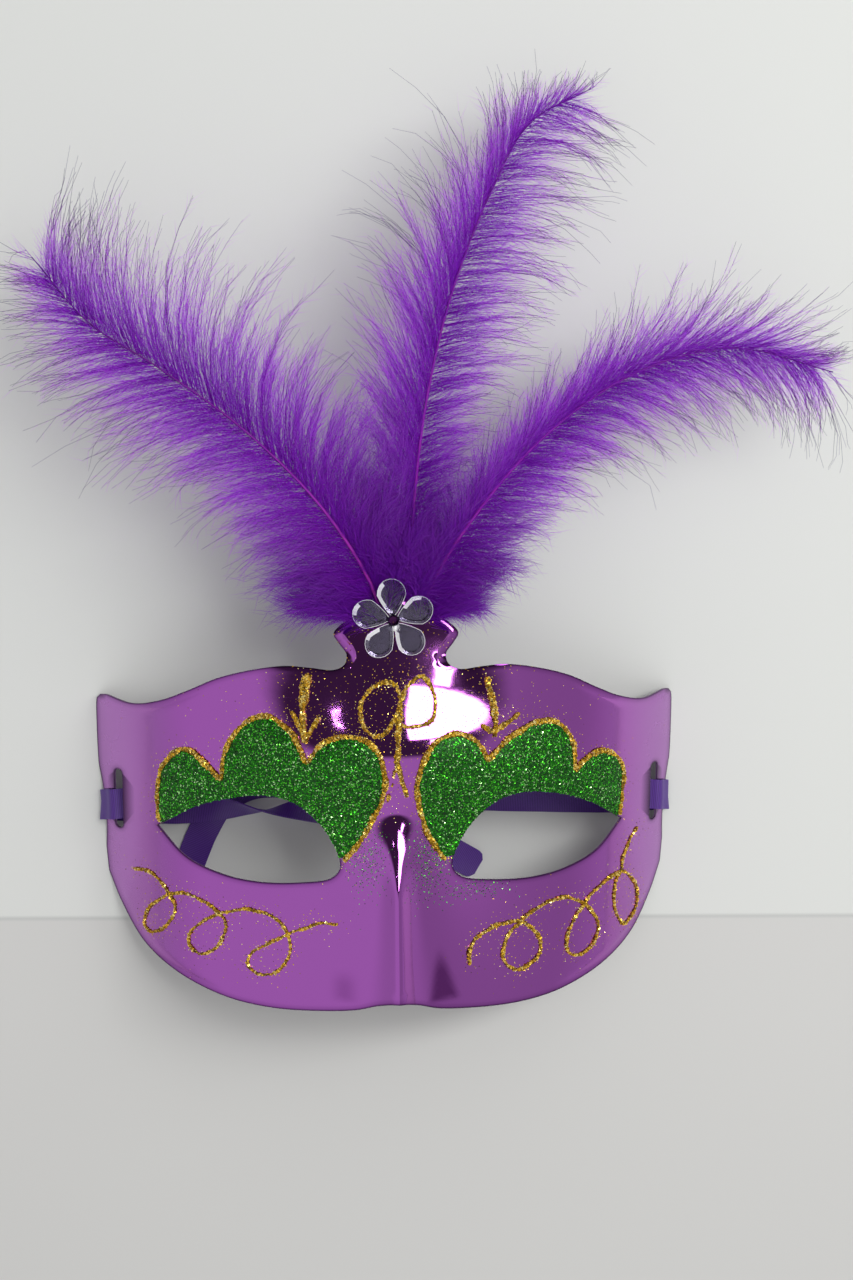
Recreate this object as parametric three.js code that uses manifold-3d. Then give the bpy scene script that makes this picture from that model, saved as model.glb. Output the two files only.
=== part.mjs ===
// Carnival half mask: a vacuum-formed plastic shell with glitter-glue ornament, a clear flower gem,
// three dyed plumes and two ribbon ties. Millimetres.
// The mask lies on its side rims with its open back down: X runs to the viewer's right,
// Y towards the crest and Z out of the face. Y = 0 is level with the root of the nose.
import * as THREE from 'three';
import { mergeVertices } from 'three/addons/utils/BufferGeometryUtils.js';
import Module from 'manifold-3d';

const wasm = await Module();
wasm.setup();

// Shell: wall, and the arc that the face bends to from side to side
const WALL = 0.9;
const PLAN_RADIUS = 101;
const RIM = { halfWidth: 87.5, bendLevel: 22, bendLength: 10, taper: 0.0425 };
const LEAN = { drop: 4, from: 18, run: 48, half: 55 };
const BROW = { rise: 2.5, half: 26, level: 28, tall: 13 };
const ROOT = { drop: 6, half: 13, level: 5, tall: 10 };
const NOSE = { rise: 15, from: 8, run: 56, width: 8, widen: 6, crease: 3, sharpen: 2.2 };
const CREST_TOP = 71;

// Cutters reach from below the rims to above the whole shell
const CUT = { low: -1, high: 90 };

// Cells of the shell's surface, closer together near the nose, and the pieces of each curved edge
const CELLS = { across: 28, along: 20, bottom: -50, top: 74, sweep: 1.14, centre: 0.5 };
const PIECES = { top: 54, bottom: 34, eye: 24, slotEnd: 3, arch: 8, petal: 3 };

// Right half of the outline, from the crest's peak to the tip, and from the rim to the nose
const TOP_EDGE = [
  { x: 9, y: 68.3 }, { x: 15, y: 64.7 }, { x: 17.7, y: 61.7 }, { x: 16.2, y: 59 },
  { x: 14.1, y: 56 }, { x: 14.6, y: 53.2 }, { x: 17.5, y: 51.7 }, { x: 24, y: 52.2 },
  { x: 31, y: 52.6 }, { x: 40, y: 51.3 }, { x: 50, y: 48.5 }, { x: 59, y: 44.3 },
  { x: 67, y: 40.8 }, { x: 76, y: 38.8 }, { x: 85, y: 40.2 },
];
const TIP_CORNER = { x: 90, y: 38 };
const RIM_FOOT = { x: 86, y: -10 };
const LOWER_EDGE = [
  { x: 83.5, y: -16 }, { x: 80.3, y: -23 }, { x: 73.5, y: -33.5 }, { x: 63.5, y: -40.6 },
  { x: 50.5, y: -45.3 }, { x: 37.5, y: -47.2 }, { x: 24, y: -47 }, { x: 12, y: -45.3 }, { x: 5, y: -42.6 },
];
const CHIN_NOTCH = -41.3;

// Right eye hole, from its outer corner over the top and back below
const EYE = [
  { x: 68.3, y: 3.6 }, { x: 57, y: 10.8 }, { x: 46, y: 14.7 }, { x: 36, y: 15.9 }, { x: 29, y: 14.2 },
  { x: 24, y: 10.4 }, { x: 19.5, y: 5 }, { x: 16.4, y: -1.5 }, { x: 16.1, y: -5.4 }, { x: 18.6, y: -8.2 },
  { x: 28, y: -9.7 }, { x: 40, y: -10 }, { x: 50, y: -8.5 }, { x: 60, y: -4.6 },
];

// Tie slot, and the shallow arch in the rim that the ribbon passes under
const SLOT = { x: 80.4, y: 9.4, width: 3.2, height: 18 };
const ARCH = { y: 6, length: 25, rise: 1.9, depth: 14 };

// Glitter glue: how far it stands off the shell, the green film and the gold beads
const SEAT = 0.3;
const FILM = 0.5;
const BEAD = { radius: 0.95, seat: 0.35, sides: 5, step: 4.2, moat: 1.6 };

// Gold outline of each green field, one row of points for each lobe, outer lobe first
const OUTLINE_LEFT = [
  [{ x: -67.5, y: 5 }, { x: -68, y: 13 }, { x: -66, y: 22 }, { x: -60, y: 27.5 }, { x: -53.5, y: 23.5 },
    { x: -49.4, y: 19.5 }],
  [{ x: -49.4, y: 19.5 }, { x: -47.5, y: 29 }, { x: -43, y: 35.5 },
    { x: -36, y: 38.5 }, { x: -29.5, y: 34 },
    { x: -25.4, y: 26 }],
  [{ x: -25.4, y: 26 }, { x: -20.5, y: 31.5 }, { x: -13.5, y: 33.5 },
    { x: -7, y: 30.8 }, { x: -3.8, y: 24 },
    { x: -4.4, y: 15 }, { x: -8.5, y: 6 }, { x: -14.6, y: -3 }],
];
const OUTLINE_RIGHT = [
  [{ x: 67.4, y: 5 }, { x: 68.2, y: 13 }, { x: 67.5, y: 20.5 }, { x: 62, y: 25.3 }, { x: 56, y: 23.8 },
    { x: 52.1, y: 20.5 }],
  [{ x: 52.1, y: 20.5 }, { x: 51, y: 29 }, { x: 47, y: 34.8 }, { x: 41, y: 35.8 }, { x: 33, y: 32.7 },
    { x: 25.4, y: 26 }],
  [{ x: 25.4, y: 26 }, { x: 21.5, y: 32 }, { x: 16, y: 33.9 }, { x: 9.5, y: 30.5 }, { x: 6, y: 23 },
    { x: 6, y: 14 }, { x: 9, y: 4.5 }, { x: 13.6, y: -3 }],
];

// Cheek scrolls, cut at the foot of each loop, so that no stroke crosses itself
const SCROLL_LEFT = [
  [{ x: -76, y: -11 }, { x: -70.5, y: -11.5 }, { x: -65, y: -17 },
    { x: -63.5, y: -20 }, { x: -64.5, y: -24 },
    { x: -68, y: -28.5 }, { x: -71, y: -30 }],
  [{ x: -71, y: -30 }, { x: -73, y: -28 }, { x: -72, y: -23.5 }, { x: -69.5, y: -20 }, { x: -65, y: -17 },
    { x: -61.5, y: -16 }, { x: -57, y: -16.5 }, { x: -50.5, y: -20.5 }, { x: -48.5, y: -24 },
    { x: -49.5, y: -28 }, { x: -52.5, y: -32 }, { x: -56.5, y: -33.5 }],
  [{ x: -56.5, y: -33.5 }, { x: -59.5, y: -31.5 }, { x: -59, y: -27.5 }, { x: -55.5, y: -24 },
    { x: -50.5, y: -20.5 }, { x: -47, y: -19.5 }, { x: -42.5, y: -18.5 },
    { x: -37.5, y: -19 }, { x: -33.5, y: -21 },
    { x: -31, y: -25 }, { x: -30, y: -29 }, { x: -31.5, y: -33.5 },
    { x: -35.5, y: -37 }, { x: -39.5, y: -37.5 }],
  [{ x: -39.5, y: -37.5 }, { x: -42.5, y: -35 }, { x: -41.5, y: -32 },
    { x: -37, y: -28.5 }, { x: -31, y: -25 },
    { x: -26, y: -23 }, { x: -21, y: -21 }, { x: -17, y: -21.5 }],
];
const SCROLL_RIGHT = [
  [{ x: 21, y: -34 }, { x: 21, y: -30 }, { x: 23, y: -26.5 }, { x: 27, y: -24 }, { x: 31.5, y: -23 },
    { x: 36.5, y: -23 }, { x: 40, y: -25.5 }, { x: 42.5, y: -30 },
    { x: 41.5, y: -34.5 }, { x: 36, y: -37.5 }],
  [{ x: 36, y: -37.5 }, { x: 32, y: -35 }, { x: 31, y: -30.5 }, { x: 33, y: -26 }, { x: 36.5, y: -23 },
    { x: 38.5, y: -21 }, { x: 43.5, y: -18.5 }, { x: 49, y: -17.5 }, { x: 53, y: -18.5 },
    { x: 56.5, y: -20.5 }, { x: 60, y: -25 }, { x: 61.5, y: -29.5 },
    { x: 59, y: -34.5 }, { x: 55, y: -36 }],
  [{ x: 55, y: -36 }, { x: 51.5, y: -34.5 }, { x: 51, y: -29.5 },
    { x: 53.5, y: -24.5 }, { x: 56.5, y: -20.5 },
    { x: 58.5, y: -18 }, { x: 62.5, y: -15.5 }, { x: 69, y: -13 }, { x: 72.5, y: -15.5 },
    { x: 75, y: -20.5 }, { x: 74.7, y: -26.5 }, { x: 71, y: -30 }],
  [{ x: 71, y: -30 }, { x: 68, y: -26.5 }, { x: 66.5, y: -20 }, { x: 67.5, y: -15 }, { x: 69, y: -13 },
    { x: 69.5, y: -8.5 }, { x: 72, y: -3.5 }, { x: 74.5, y: -0.5 }],
];

// Brow marks and the bow between them, each a list of strokes
const MARK_LEFT = [
  [{ x: -24.5, y: 51 }, { x: -25.5, y: 46.5 }, { x: -26.3, y: 38 }, { x: -25.5, y: 31.5 }],
  [{ x: -29.5, y: 40 }, { x: -27.5, y: 37 }, { x: -25.6, y: 33.5 }],
  [{ x: -21.5, y: 38.5 }, { x: -23.5, y: 35.5 }, { x: -25.4, y: 33 }],
];
const MARK_RIGHT = [
  [{ x: 25.4, y: 49 }, { x: 27.3, y: 41 }, { x: 27.6, y: 32.5 }],
  [{ x: 23.6, y: 36 }, { x: 27.4, y: 33.8 }],
  [{ x: 34.8, y: 38.7 }, { x: 27.8, y: 34 }],
];
const BOW = [
  [{ x: 1, y: 43 }, { x: -0.5, y: 47.5 }, { x: -3, y: 48.5 }, { x: -7, y: 46.5 }, { x: -9.5, y: 43.5 },
    { x: -10.5, y: 39.5 }],
  [{ x: -10.5, y: 39.5 }, { x: -9, y: 35.5 }, { x: -6, y: 33.5 }, { x: -3, y: 35 }, { x: 0.5, y: 40.5 }],
  [{ x: 1, y: 43 }, { x: 3, y: 47 }, { x: 7, y: 50 }, { x: 9.5, y: 47 }, { x: 10.5, y: 42 }],
  [{ x: 10.5, y: 42 }, { x: 10, y: 38.5 }, { x: 7.5, y: 36.5 }, { x: 3.5, y: 36 }, { x: 0.5, y: 37 }],
  [{ x: 0.7, y: 43 }, { x: 0, y: 32 }, { x: -0.2, y: 26.5 }, { x: 1, y: 22 }, { x: 2.5, y: 16 }],
  [{ x: -0.4, y: 27 }, { x: -1, y: 21 }, { x: -2, y: 15.5 }],
];

// Clear flower: petals round a small hole, a flat table and bevelled sides
const FLOWER = {
  x: -1, y: 65.6, seat: 0.4, turn: 94, petals: 5, reach: 11.6, waist: 3.1, hole: 1.1,
  shoulder: 0.69, spread: 0.46, narrow: 0.86, round: 0.55, base: 1.2, bevel: 2.2, slope: 0.6,
};

// Plumes: the shaft's points with its height, and the reach of the vane on each side along it
const SHAFT = { root: 0.95, tip: 0.6, sides: 6, steps: 11 };
const LOCK = { count: 13, notch: 0.72, thick: 0.6, lift: 0.2 };
const FEATHER_LEFT = {
  shaft: [
    { x: -2.5, y: 57, z: 44.2 }, { x: -6, y: 73, z: 43.7 }, { x: -20, y: 96, z: 45.4 },
    { x: -41, y: 117.5, z: 45 }, { x: -64, y: 134.5, z: 44 },
    { x: -84, y: 147.5, z: 42 }, { x: -99, y: 165, z: 40 },
  ],
  // along the shaft: reach and sweep from the shaft of the vane to the left and to the right of it
  vane: [
    { at: 0.13, left: 15, leftSweep: 74, right: 8, rightSweep: 34 },
    { at: 0.3, left: 34, leftSweep: 68, right: 32, rightSweep: 38 },
    { at: 0.5, left: 37, leftSweep: 60, right: 50, rightSweep: 46 },
    { at: 0.7, left: 37, leftSweep: 46, right: 48, rightSweep: 48 },
    { at: 0.86, left: 26, leftSweep: 38, right: 32, rightSweep: 44 },
    { at: 1, left: 12, leftSweep: 16, right: 12, rightSweep: 30 },
  ],
};
const FEATHER_CENTRE = {
  shaft: [
    { x: 1.5, y: 57, z: 44.2 }, { x: 3.5, y: 73, z: 42.8 }, { x: 5.6, y: 101, z: 39 },
    { x: 9, y: 127, z: 38.5 }, { x: 16, y: 156, z: 38 }, { x: 27.5, y: 185, z: 37 },
    { x: 38, y: 203, z: 36.5 }, { x: 55, y: 212.5, z: 36 },
  ],
  vane: [
    { at: 0.16, left: 10, leftSweep: 44, right: 9, rightSweep: 40 },
    { at: 0.32, left: 36, leftSweep: 44, right: 24, rightSweep: 46 },
    { at: 0.52, left: 42, leftSweep: 56, right: 34, rightSweep: 56 },
    { at: 0.7, left: 34, leftSweep: 46, right: 38, rightSweep: 56 },
    { at: 0.86, left: 17, leftSweep: 38, right: 32, rightSweep: 54 },
    { at: 1, left: 7, leftSweep: 24, right: 9, rightSweep: 30 },
  ],
};
const FEATHER_RIGHT = {
  shaft: [
    { x: 5.5, y: 57, z: 44.2 }, { x: 9, y: 73, z: 43.7 }, { x: 23, y: 96, z: 45.4 },
    { x: 42.5, y: 117.5, z: 45 }, { x: 67, y: 134, z: 44 },
    { x: 95, y: 141, z: 42 }, { x: 124, y: 134.5, z: 40 },
  ],
  vane: [
    { at: 0.13, left: 8, leftSweep: 34, right: 16, rightSweep: 74 },
    { at: 0.3, left: 26, leftSweep: 36, right: 32, rightSweep: 64 },
    { at: 0.5, left: 35, leftSweep: 34, right: 33, rightSweep: 60 },
    { at: 0.7, left: 32, leftSweep: 32, right: 37, rightSweep: 54 },
    { at: 0.86, left: 23, leftSweep: 30, right: 32, rightSweep: 48 },
    { at: 1, left: 8, leftSweep: 26, right: 6, rightSweep: 26 },
  ],
};

// Ties: width and thickness of the band, and the route of each from its glued end, with its twist
const RIBBON = { width: 9, thick: 1, steps: 3 };
const TIE_LEFT = [
  { x: -70.4, y: 8.2, z: 16.3, twist: 0 }, { x: -74.2, y: 8, z: 12.3, twist: 0 },
  { x: -76.4, y: 7.8, z: 9.4, twist: 0 }, { x: -77.8, y: 7.7, z: 7.6, twist: 0 },
  { x: -79.2, y: 7.6, z: 7.1, twist: 0 }, { x: -80.6, y: 7.5, z: 7.25, twist: 0 },
  { x: -82.1, y: 7.4, z: 7.45, twist: 0 }, { x: -83.3, y: 7.2, z: 6.5, twist: 0 },
  { x: -84.1, y: 7, z: 5, twist: 0 }, { x: -85.1, y: 6.7, z: 3.5, twist: 0 },
  { x: -86, y: 6.4, z: 2.15, twist: 0 }, { x: -86.2, y: 6.2, z: 1.25, twist: 0 },
  { x: -85.5, y: 6.1, z: 0.68, twist: 0 }, { x: -84, y: 5.9, z: 0.6, twist: 0 },
  { x: -79, y: 5.4, z: 0.7, twist: 0 }, { x: -72, y: 4.8, z: 1.3, twist: 0 },
  { x: -64, y: 4.6, z: 2.1, twist: 0 }, { x: -55, y: 4.4, z: 2.6, twist: 6 },
  { x: -45, y: 3.8, z: 4.4, twist: 36 }, { x: -35, y: 3.4, z: 6.8, twist: 90 },
  { x: -25, y: 3.6, z: 5, twist: 142 }, { x: -15, y: 3.4, z: 2.9, twist: 172 },
  { x: -4, y: 1.6, z: 2.2, twist: 180 }, { x: 8, y: -3.4, z: 1.8, twist: 180 },
  { x: 19, y: -9.8, z: 0.8, twist: 180 }, { x: 28, y: -15, z: 0.6, twist: 180 },
];
const TIE_RIGHT = [
  { x: 70.4, y: 8.8, z: 16.3, twist: 0 }, { x: 74.2, y: 8.6, z: 12.3, twist: 0 },
  { x: 76.4, y: 8.4, z: 9.4, twist: 0 }, { x: 77.8, y: 8.3, z: 7.6, twist: 0 },
  { x: 79.2, y: 8.2, z: 7.1, twist: 0 }, { x: 80.6, y: 8.1, z: 7.25, twist: 0 },
  { x: 82.1, y: 8, z: 7.45, twist: 0 }, { x: 83.3, y: 7.8, z: 6.5, twist: 0 },
  { x: 84.1, y: 7.6, z: 5, twist: 0 }, { x: 85.1, y: 7.3, z: 3.5, twist: 0 },
  { x: 86, y: 7, z: 2.15, twist: 0 }, { x: 86.2, y: 6.8, z: 1.25, twist: 0 },
  { x: 85.5, y: 6.7, z: 0.68, twist: 0 }, { x: 84, y: 6.6, z: 0.6, twist: 0 },
  { x: 77.8, y: 6.2, z: 0.6, twist: 0 }, { x: 70, y: 5.8, z: 0.6, twist: 0 },
  { x: 58, y: 6, z: 0.6, twist: 0 }, { x: 46, y: 6.4, z: 0.6, twist: 0 },
  { x: 34, y: 6.8, z: 0.6, twist: 0 }, { x: 20, y: 7.6, z: 0.6, twist: 0 },
  { x: 4, y: 8.6, z: 0.6, twist: 0 }, { x: -12, y: 10, z: 0.6, twist: 0 },
  { x: -28, y: 11.6, z: 0.6, twist: 0 }, { x: -41, y: 11.4, z: 0.6, twist: 0 },
  { x: -50, y: 6.6, z: 0.6, twist: 0 }, { x: -55.6, y: -2, z: 0.6, twist: 0 },
  { x: -59.4, y: -11, z: 0.6, twist: 0 }, { x: -63, y: -20, z: 0.6, twist: 0 },
];

// Finishes
const FINISH = {
  shell: { color: 0x8e4aa6, roughness: 0.22, metalness: 0.9 },
  green: { color: 0x1c7d2a, roughness: 0.35, metalness: 0.4 },
  gold: { color: 0xb98a1e, roughness: 0.35, metalness: 0.6 },
  gem: { color: 0xdcdfe4, roughness: 0.05, metalness: 0.1 },
  plume: { color: 0x6a1bb0, roughness: 0.8, metalness: 0 },
  ribbon: { color: 0x3f2480, roughness: 0.5, metalness: 0 },
};

const bell = (t) => Math.exp(-t * t);
const smooth = (t) => THREE.MathUtils.smoothstep(t, 0, 1);
const mirrored = (rows) => rows.map(({ x, y }) => ({ x: -x, y })).reverse();
const flat = (rows) => rows.map(({ x, y }) => new THREE.Vector2(x, y));

function rimHalfWidth(y) {
  const below = RIM.bendLevel - y;
  return RIM.halfWidth - RIM.taper * (below + Math.hypot(below, RIM.bendLength));
}

// Height of the shell's outer face above the plane of its rims
function faceHeight(x, y) {
  const rim = rimHalfWidth(y);
  const arc = Math.sqrt(PLAN_RADIUS ** 2 - x * x) - Math.sqrt(PLAN_RADIUS ** 2 - rim * rim);
  const lean = LEAN.drop * smooth((y - LEAN.from) / LEAN.run) * bell(x / LEAN.half);
  const brow = BROW.rise * bell(x / BROW.half) * bell((y - BROW.level) / BROW.tall);
  const root = ROOT.drop * bell(x / ROOT.half) * bell((y - ROOT.level) / ROOT.tall);
  const down = smooth((NOSE.from - y) / NOSE.run);
  const crease = NOSE.crease - NOSE.sharpen * down;
  const spread = NOSE.width + NOSE.widen * down;
  const nose = NOSE.rise * down * Math.exp((crease - Math.hypot(x, crease)) / spread);
  return arc - lean + brow - root + nose;
}

function faceNormal(x, y) {
  const near = 0.5;
  const slopeX = (faceHeight(x + near, y) - faceHeight(x - near, y)) / (2 * near);
  const slopeY = (faceHeight(x, y + near) - faceHeight(x, y - near)) / (2 * near);
  return new THREE.Vector3(-slopeX, -slopeY, 1).normalize();
}

// The point at a given distance off the shell's outer face
function offFace(x, y, distance) {
  return new THREE.Vector3(x, y, faceHeight(x, y)).addScaledVector(faceNormal(x, y), distance);
}

function solidOf(geometry) {
  const bare = geometry.clone();
  bare.deleteAttribute('normal');
  bare.deleteAttribute('uv');
  const merged = mergeVertices(bare, 1e-4);
  const vertProperties = new Float32Array(merged.attributes.position.array);
  const triVerts = new Uint32Array(merged.index.array);
  return new wasm.Manifold(new wasm.Mesh({ numProp: 3, vertProperties, triVerts }));
}

function geometryOf(solid) {
  const { vertProperties, triVerts } = solid.getMesh();
  const geometry = new THREE.BufferGeometry();
  geometry.setAttribute('position', new THREE.BufferAttribute(vertProperties, 3));
  geometry.setIndex(new THREE.BufferAttribute(triVerts, 1));
  return geometry;
}

const joined = (geometries) => geometries.map(solidOf).reduce((all, next) => all.add(next));

// Moves every corner of a geometry to a new place
function reshaped(geometry, place) {
  const position = geometry.attributes.position;
  const corner = new THREE.Vector3();
  for (let i = 0; i < position.count; i += 1) {
    corner.fromBufferAttribute(position, i);
    const target = place(corner);
    position.setXYZ(i, target.x, target.y, target.z);
  }
  return geometry;
}

// A sheet that follows the face between two distances from it
function faceSheet(inner, outer) {
  const grid = () => new THREE.PlaneGeometry(2, 1, CELLS.across, CELLS.along);
  const layer = (distance) => reshaped(grid(), (corner) => {
    const share = CELLS.centre * corner.x + (1 - CELLS.centre) * corner.x ** 3;
    const x = PLAN_RADIUS * Math.sin(CELLS.sweep * share);
    const y = THREE.MathUtils.lerp(CELLS.bottom, CELLS.top, corner.y + 0.5);
    return offFace(x, y, distance);
  });
  const upper = layer(outer);
  const lower = layer(inner);
  const count = upper.attributes.position.count;
  const index = [...upper.index.array];
  for (let i = 0; i < upper.index.count; i += 3) {
    const [a, b, c] = upper.index.array.subarray(i, i + 3);
    index.push(c + count, b + count, a + count);
  }
  const row = CELLS.across + 1;
  const ring = [];
  for (let j = 0; j < CELLS.along; j += 1) ring.push(j * row);
  for (let i = 0; i < CELLS.across; i += 1) ring.push(CELLS.along * row + i);
  for (let j = CELLS.along; j > 0; j -= 1) ring.push(j * row + CELLS.across);
  for (let i = CELLS.across; i > 0; i -= 1) ring.push(i);
  ring.forEach((p, i) => {
    const q = ring[(i + 1) % ring.length];
    index.push(q, p, p + count, q, p + count, q + count);
  });
  const sheet = new THREE.BufferGeometry();
  const corners = [...upper.attributes.position.array, ...lower.attributes.position.array];
  sheet.setAttribute('position', new THREE.Float32BufferAttribute(corners, 3));
  sheet.setIndex(index);
  return solidOf(sheet);
}

function prism(points, low, high) {
  const outline = new THREE.Shape(points);
  const block = new THREE.ExtrudeGeometry(outline, { depth: high - low, bevelEnabled: false });
  return solidOf(block.translate(0, 0, low));
}

const curveThrough = (rows, pieces) => new THREE.SplineCurve(flat(rows)).getPoints(pieces);

function shellOutline() {
  const top = curveThrough([...mirrored(TOP_EDGE), { x: 0, y: CREST_TOP }, ...TOP_EDGE], PIECES.top);
  const lower = [RIM_FOOT, ...LOWER_EDGE];
  const bottom = curveThrough([...lower, { x: 0, y: CHIN_NOTCH }, ...mirrored(lower)], PIECES.bottom);
  return [...top, ...flat([TIP_CORNER]), ...bottom, ...flat(mirrored([TIP_CORNER]))];
}

function eyeOutline(side) {
  const rows = [...EYE, EYE[0]].map(({ x, y }) => ({ x: side * x, y }));
  return curveThrough(rows, PIECES.eye).slice(0, -1);
}

function slotOutline(side) {
  const half = SLOT.width / 2;
  const run = SLOT.height / 2 - half;
  const points = [];
  for (const end of [1, -1]) {
    const start = end > 0 ? 0 : Math.PI;
    const arc = new THREE.EllipseCurve(side * SLOT.x, SLOT.y + end * run, half, half, start, start + Math.PI);
    points.push(...arc.getPoints(PIECES.slotEnd));
  }
  return points;
}

// A low lens that lifts the rim off the surface where a tie passes under it
function archCutter(side) {
  const half = ARCH.length / 2;
  const arch = new THREE.Shape();
  arch.moveTo(-half, CUT.low);
  arch.lineTo(-half, 0);
  arch.quadraticCurveTo(0, 2 * ARCH.rise, half, 0);
  arch.lineTo(half, CUT.low);
  const settings = { depth: ARCH.depth, bevelEnabled: false, curveSegments: PIECES.arch };
  const block = new THREE.ExtrudeGeometry(arch, settings);
  block.translate(0, 0, -ARCH.depth / 2).rotateX(Math.PI / 2).rotateZ(Math.PI / 2);
  return solidOf(block.translate(side * RIM.halfWidth, ARCH.y, 0));
}

function maskShell() {
  let shell = faceSheet(-WALL, 0).intersect(prism(shellOutline(), 0, CUT.high));
  for (const side of [-1, 1]) {
    shell = shell.subtract(prism(eyeOutline(side), CUT.low, CUT.high));
    shell = shell.subtract(prism(slotOutline(side), CUT.low, CUT.high));
    shell = shell.subtract(archCutter(side));
  }
  return shell;
}

// A rod bent along points in space, with a flat section set by its half sizes at each share
function bentRod(points, frameNormal, halfSize, sides) {
  const steps = points.length - 1;
  const rod = new THREE.CylinderGeometry(1, 1, 1, sides, steps);
  return reshaped(rod, (corner) => {
    const share = THREE.MathUtils.clamp(corner.y + 0.5, 0, 1);
    const index = Math.round(share * steps);
    const before = points[Math.max(index - 1, 0)];
    const after = points[Math.min(index + 1, steps)];
    const along = after.clone().sub(before).normalize();
    const normal = frameNormal(points[index]);
    const across = along.clone().cross(normal).normalize();
    const up = across.clone().cross(along);
    const [wide, thick] = halfSize(share);
    const target = points[index].clone().addScaledVector(across, corner.x * wide);
    return target.addScaledVector(up, corner.z * thick);
  });
}

// A bead of glue on the face along one stroke
function beadStroke(points) {
  const seated = points.map(({ x, y }) => offFace(x, y, BEAD.radius + BEAD.seat));
  return bentRod(seated, ({ x, y }) => faceNormal(x, y), () => [BEAD.radius, BEAD.radius], BEAD.sides);
}

function strokePoints(rows) {
  const curve = new THREE.SplineCurve(flat(rows));
  return curve.getSpacedPoints(Math.max(3, Math.round(curve.getLength() / BEAD.step)));
}

const beadStrokes = (strokes) => joined(strokes.map((rows) => beadStroke(strokePoints(rows))));

// A closed line drawn in by a distance; it runs clockwise on the left of the face
function drawnIn(points, distance, side) {
  return points.map((point, i) => {
    const before = points[(i + points.length - 1) % points.length];
    const after = points[(i + 1) % points.length];
    const along = after.clone().sub(before).normalize();
    return new THREE.Vector2(point.x - side * distance * -along.y, point.y - side * distance * along.x);
  });
}

function greenPatch(strokes, side) {
  const border = strokes.flatMap((rows) => strokePoints(rows).slice(0, -1));
  const inside = prism(drawnIn(border, BEAD.moat, -side), 0, CUT.high);
  const eye = prism(eyeOutline(side), 0, CUT.high);
  return faceSheet(SEAT, SEAT + FILM).intersect(inside).subtract(eye);
}

function flowerGem() {
  const outline = new THREE.Shape();
  const step = 2 * Math.PI / FLOWER.petals;
  const at = (radius, angle) => [radius * Math.cos(angle), radius * Math.sin(angle)];
  const reach = FLOWER.reach - FLOWER.slope;
  const shoulder = reach * FLOWER.shoulder;
  const side = FLOWER.spread * FLOWER.narrow;
  const corner = FLOWER.spread * FLOWER.round;
  outline.moveTo(...at(FLOWER.waist, -step / 2));
  for (let petal = 0; petal < FLOWER.petals; petal += 1) {
    const middle = petal * step;
    outline.lineTo(...at(shoulder, middle - side));
    outline.quadraticCurveTo(...at(reach, middle - corner), ...at(reach, middle));
    outline.quadraticCurveTo(...at(reach, middle + corner), ...at(shoulder, middle + side));
    outline.lineTo(...at(FLOWER.waist, middle + step / 2));
  }
  const hole = new THREE.Path();
  hole.absarc(0, 0, FLOWER.hole + FLOWER.slope, 0, 2 * Math.PI, true);
  outline.holes.push(hole);
  const stone = new THREE.ExtrudeGeometry(outline, {
    depth: FLOWER.base, curveSegments: PIECES.petal, bevelThickness: FLOWER.bevel, bevelSize: FLOWER.slope,
    bevelSegments: 1,
  });
  stone.rotateZ(THREE.MathUtils.degToRad(FLOWER.turn));
  const foot = faceHeight(FLOWER.x, FLOWER.y) + FLOWER.seat;
  return stone.translate(FLOWER.x, FLOWER.y, foot + FLOWER.bevel);
}

// Reach and sweep of a vane at a share of the shaft's length, read between the table's rows
function vaneAt(vane, share) {
  let row = 1;
  while (row < vane.length - 1 && vane[row].at < share) row += 1;
  const low = vane[row - 1];
  const high = vane[row];
  const t = THREE.MathUtils.clamp((share - low.at) / (high.at - low.at), 0, 1);
  const mix = (key) => THREE.MathUtils.lerp(low[key], high[key], t);
  return {
    left: { reach: mix('left'), sweep: mix('leftSweep') },
    right: { reach: mix('right'), sweep: mix('rightSweep') },
  };
}

const upright = () => new THREE.Vector3(0, 0, 1);

// One side of a plume: a thin web along the shaft whose outer edge runs from lock to lock
function plumeVane(shaft, feather, side) {
  const hand = side === 'left' ? 1 : -1;
  const first = feather.vane[0].at;
  const web = new THREE.BoxGeometry(1, 1, 1, 2 * LOCK.count, 1, 1);
  return reshaped(web, (corner) => {
    const place = Math.round((corner.x + 0.5) * 2 * LOCK.count);
    const share = THREE.MathUtils.lerp(first, 1, place / (2 * LOCK.count));
    const { reach, sweep } = vaneAt(feather.vane, share)[side];
    const onTip = place % 2 === 1;
    const out = corner.y > 0 ? reach * (onTip ? 1 : LOCK.notch) : 0;
    const along = shaft.getTangentAt(share);
    const heading = Math.atan2(along.y, along.x) + hand * THREE.MathUtils.degToRad(sweep);
    const lift = corner.y > 0 ? LOCK.lift * (Math.floor(place / 2) % 2 === 0 ? 1 : -1) : 0;
    const root = shaft.getPointAt(share);
    const thick = hand * corner.z * LOCK.thick;
    return root.add(new THREE.Vector3(out * Math.cos(heading), out * Math.sin(heading), lift + thick));
  });
}

function plume(feather) {
  const knots = feather.shaft.map(({ x, y, z }) => new THREE.Vector3(x, y, z));
  const shaft = new THREE.CatmullRomCurve3(knots);
  const taper = (t) => Array(2).fill(THREE.MathUtils.lerp(SHAFT.root, SHAFT.tip, t));
  const quill = bentRod(shaft.getSpacedPoints(SHAFT.steps), upright, taper, SHAFT.sides);
  return joined([quill, plumeVane(shaft, feather, 'left'), plumeVane(shaft, feather, 'right')]);
}

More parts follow.
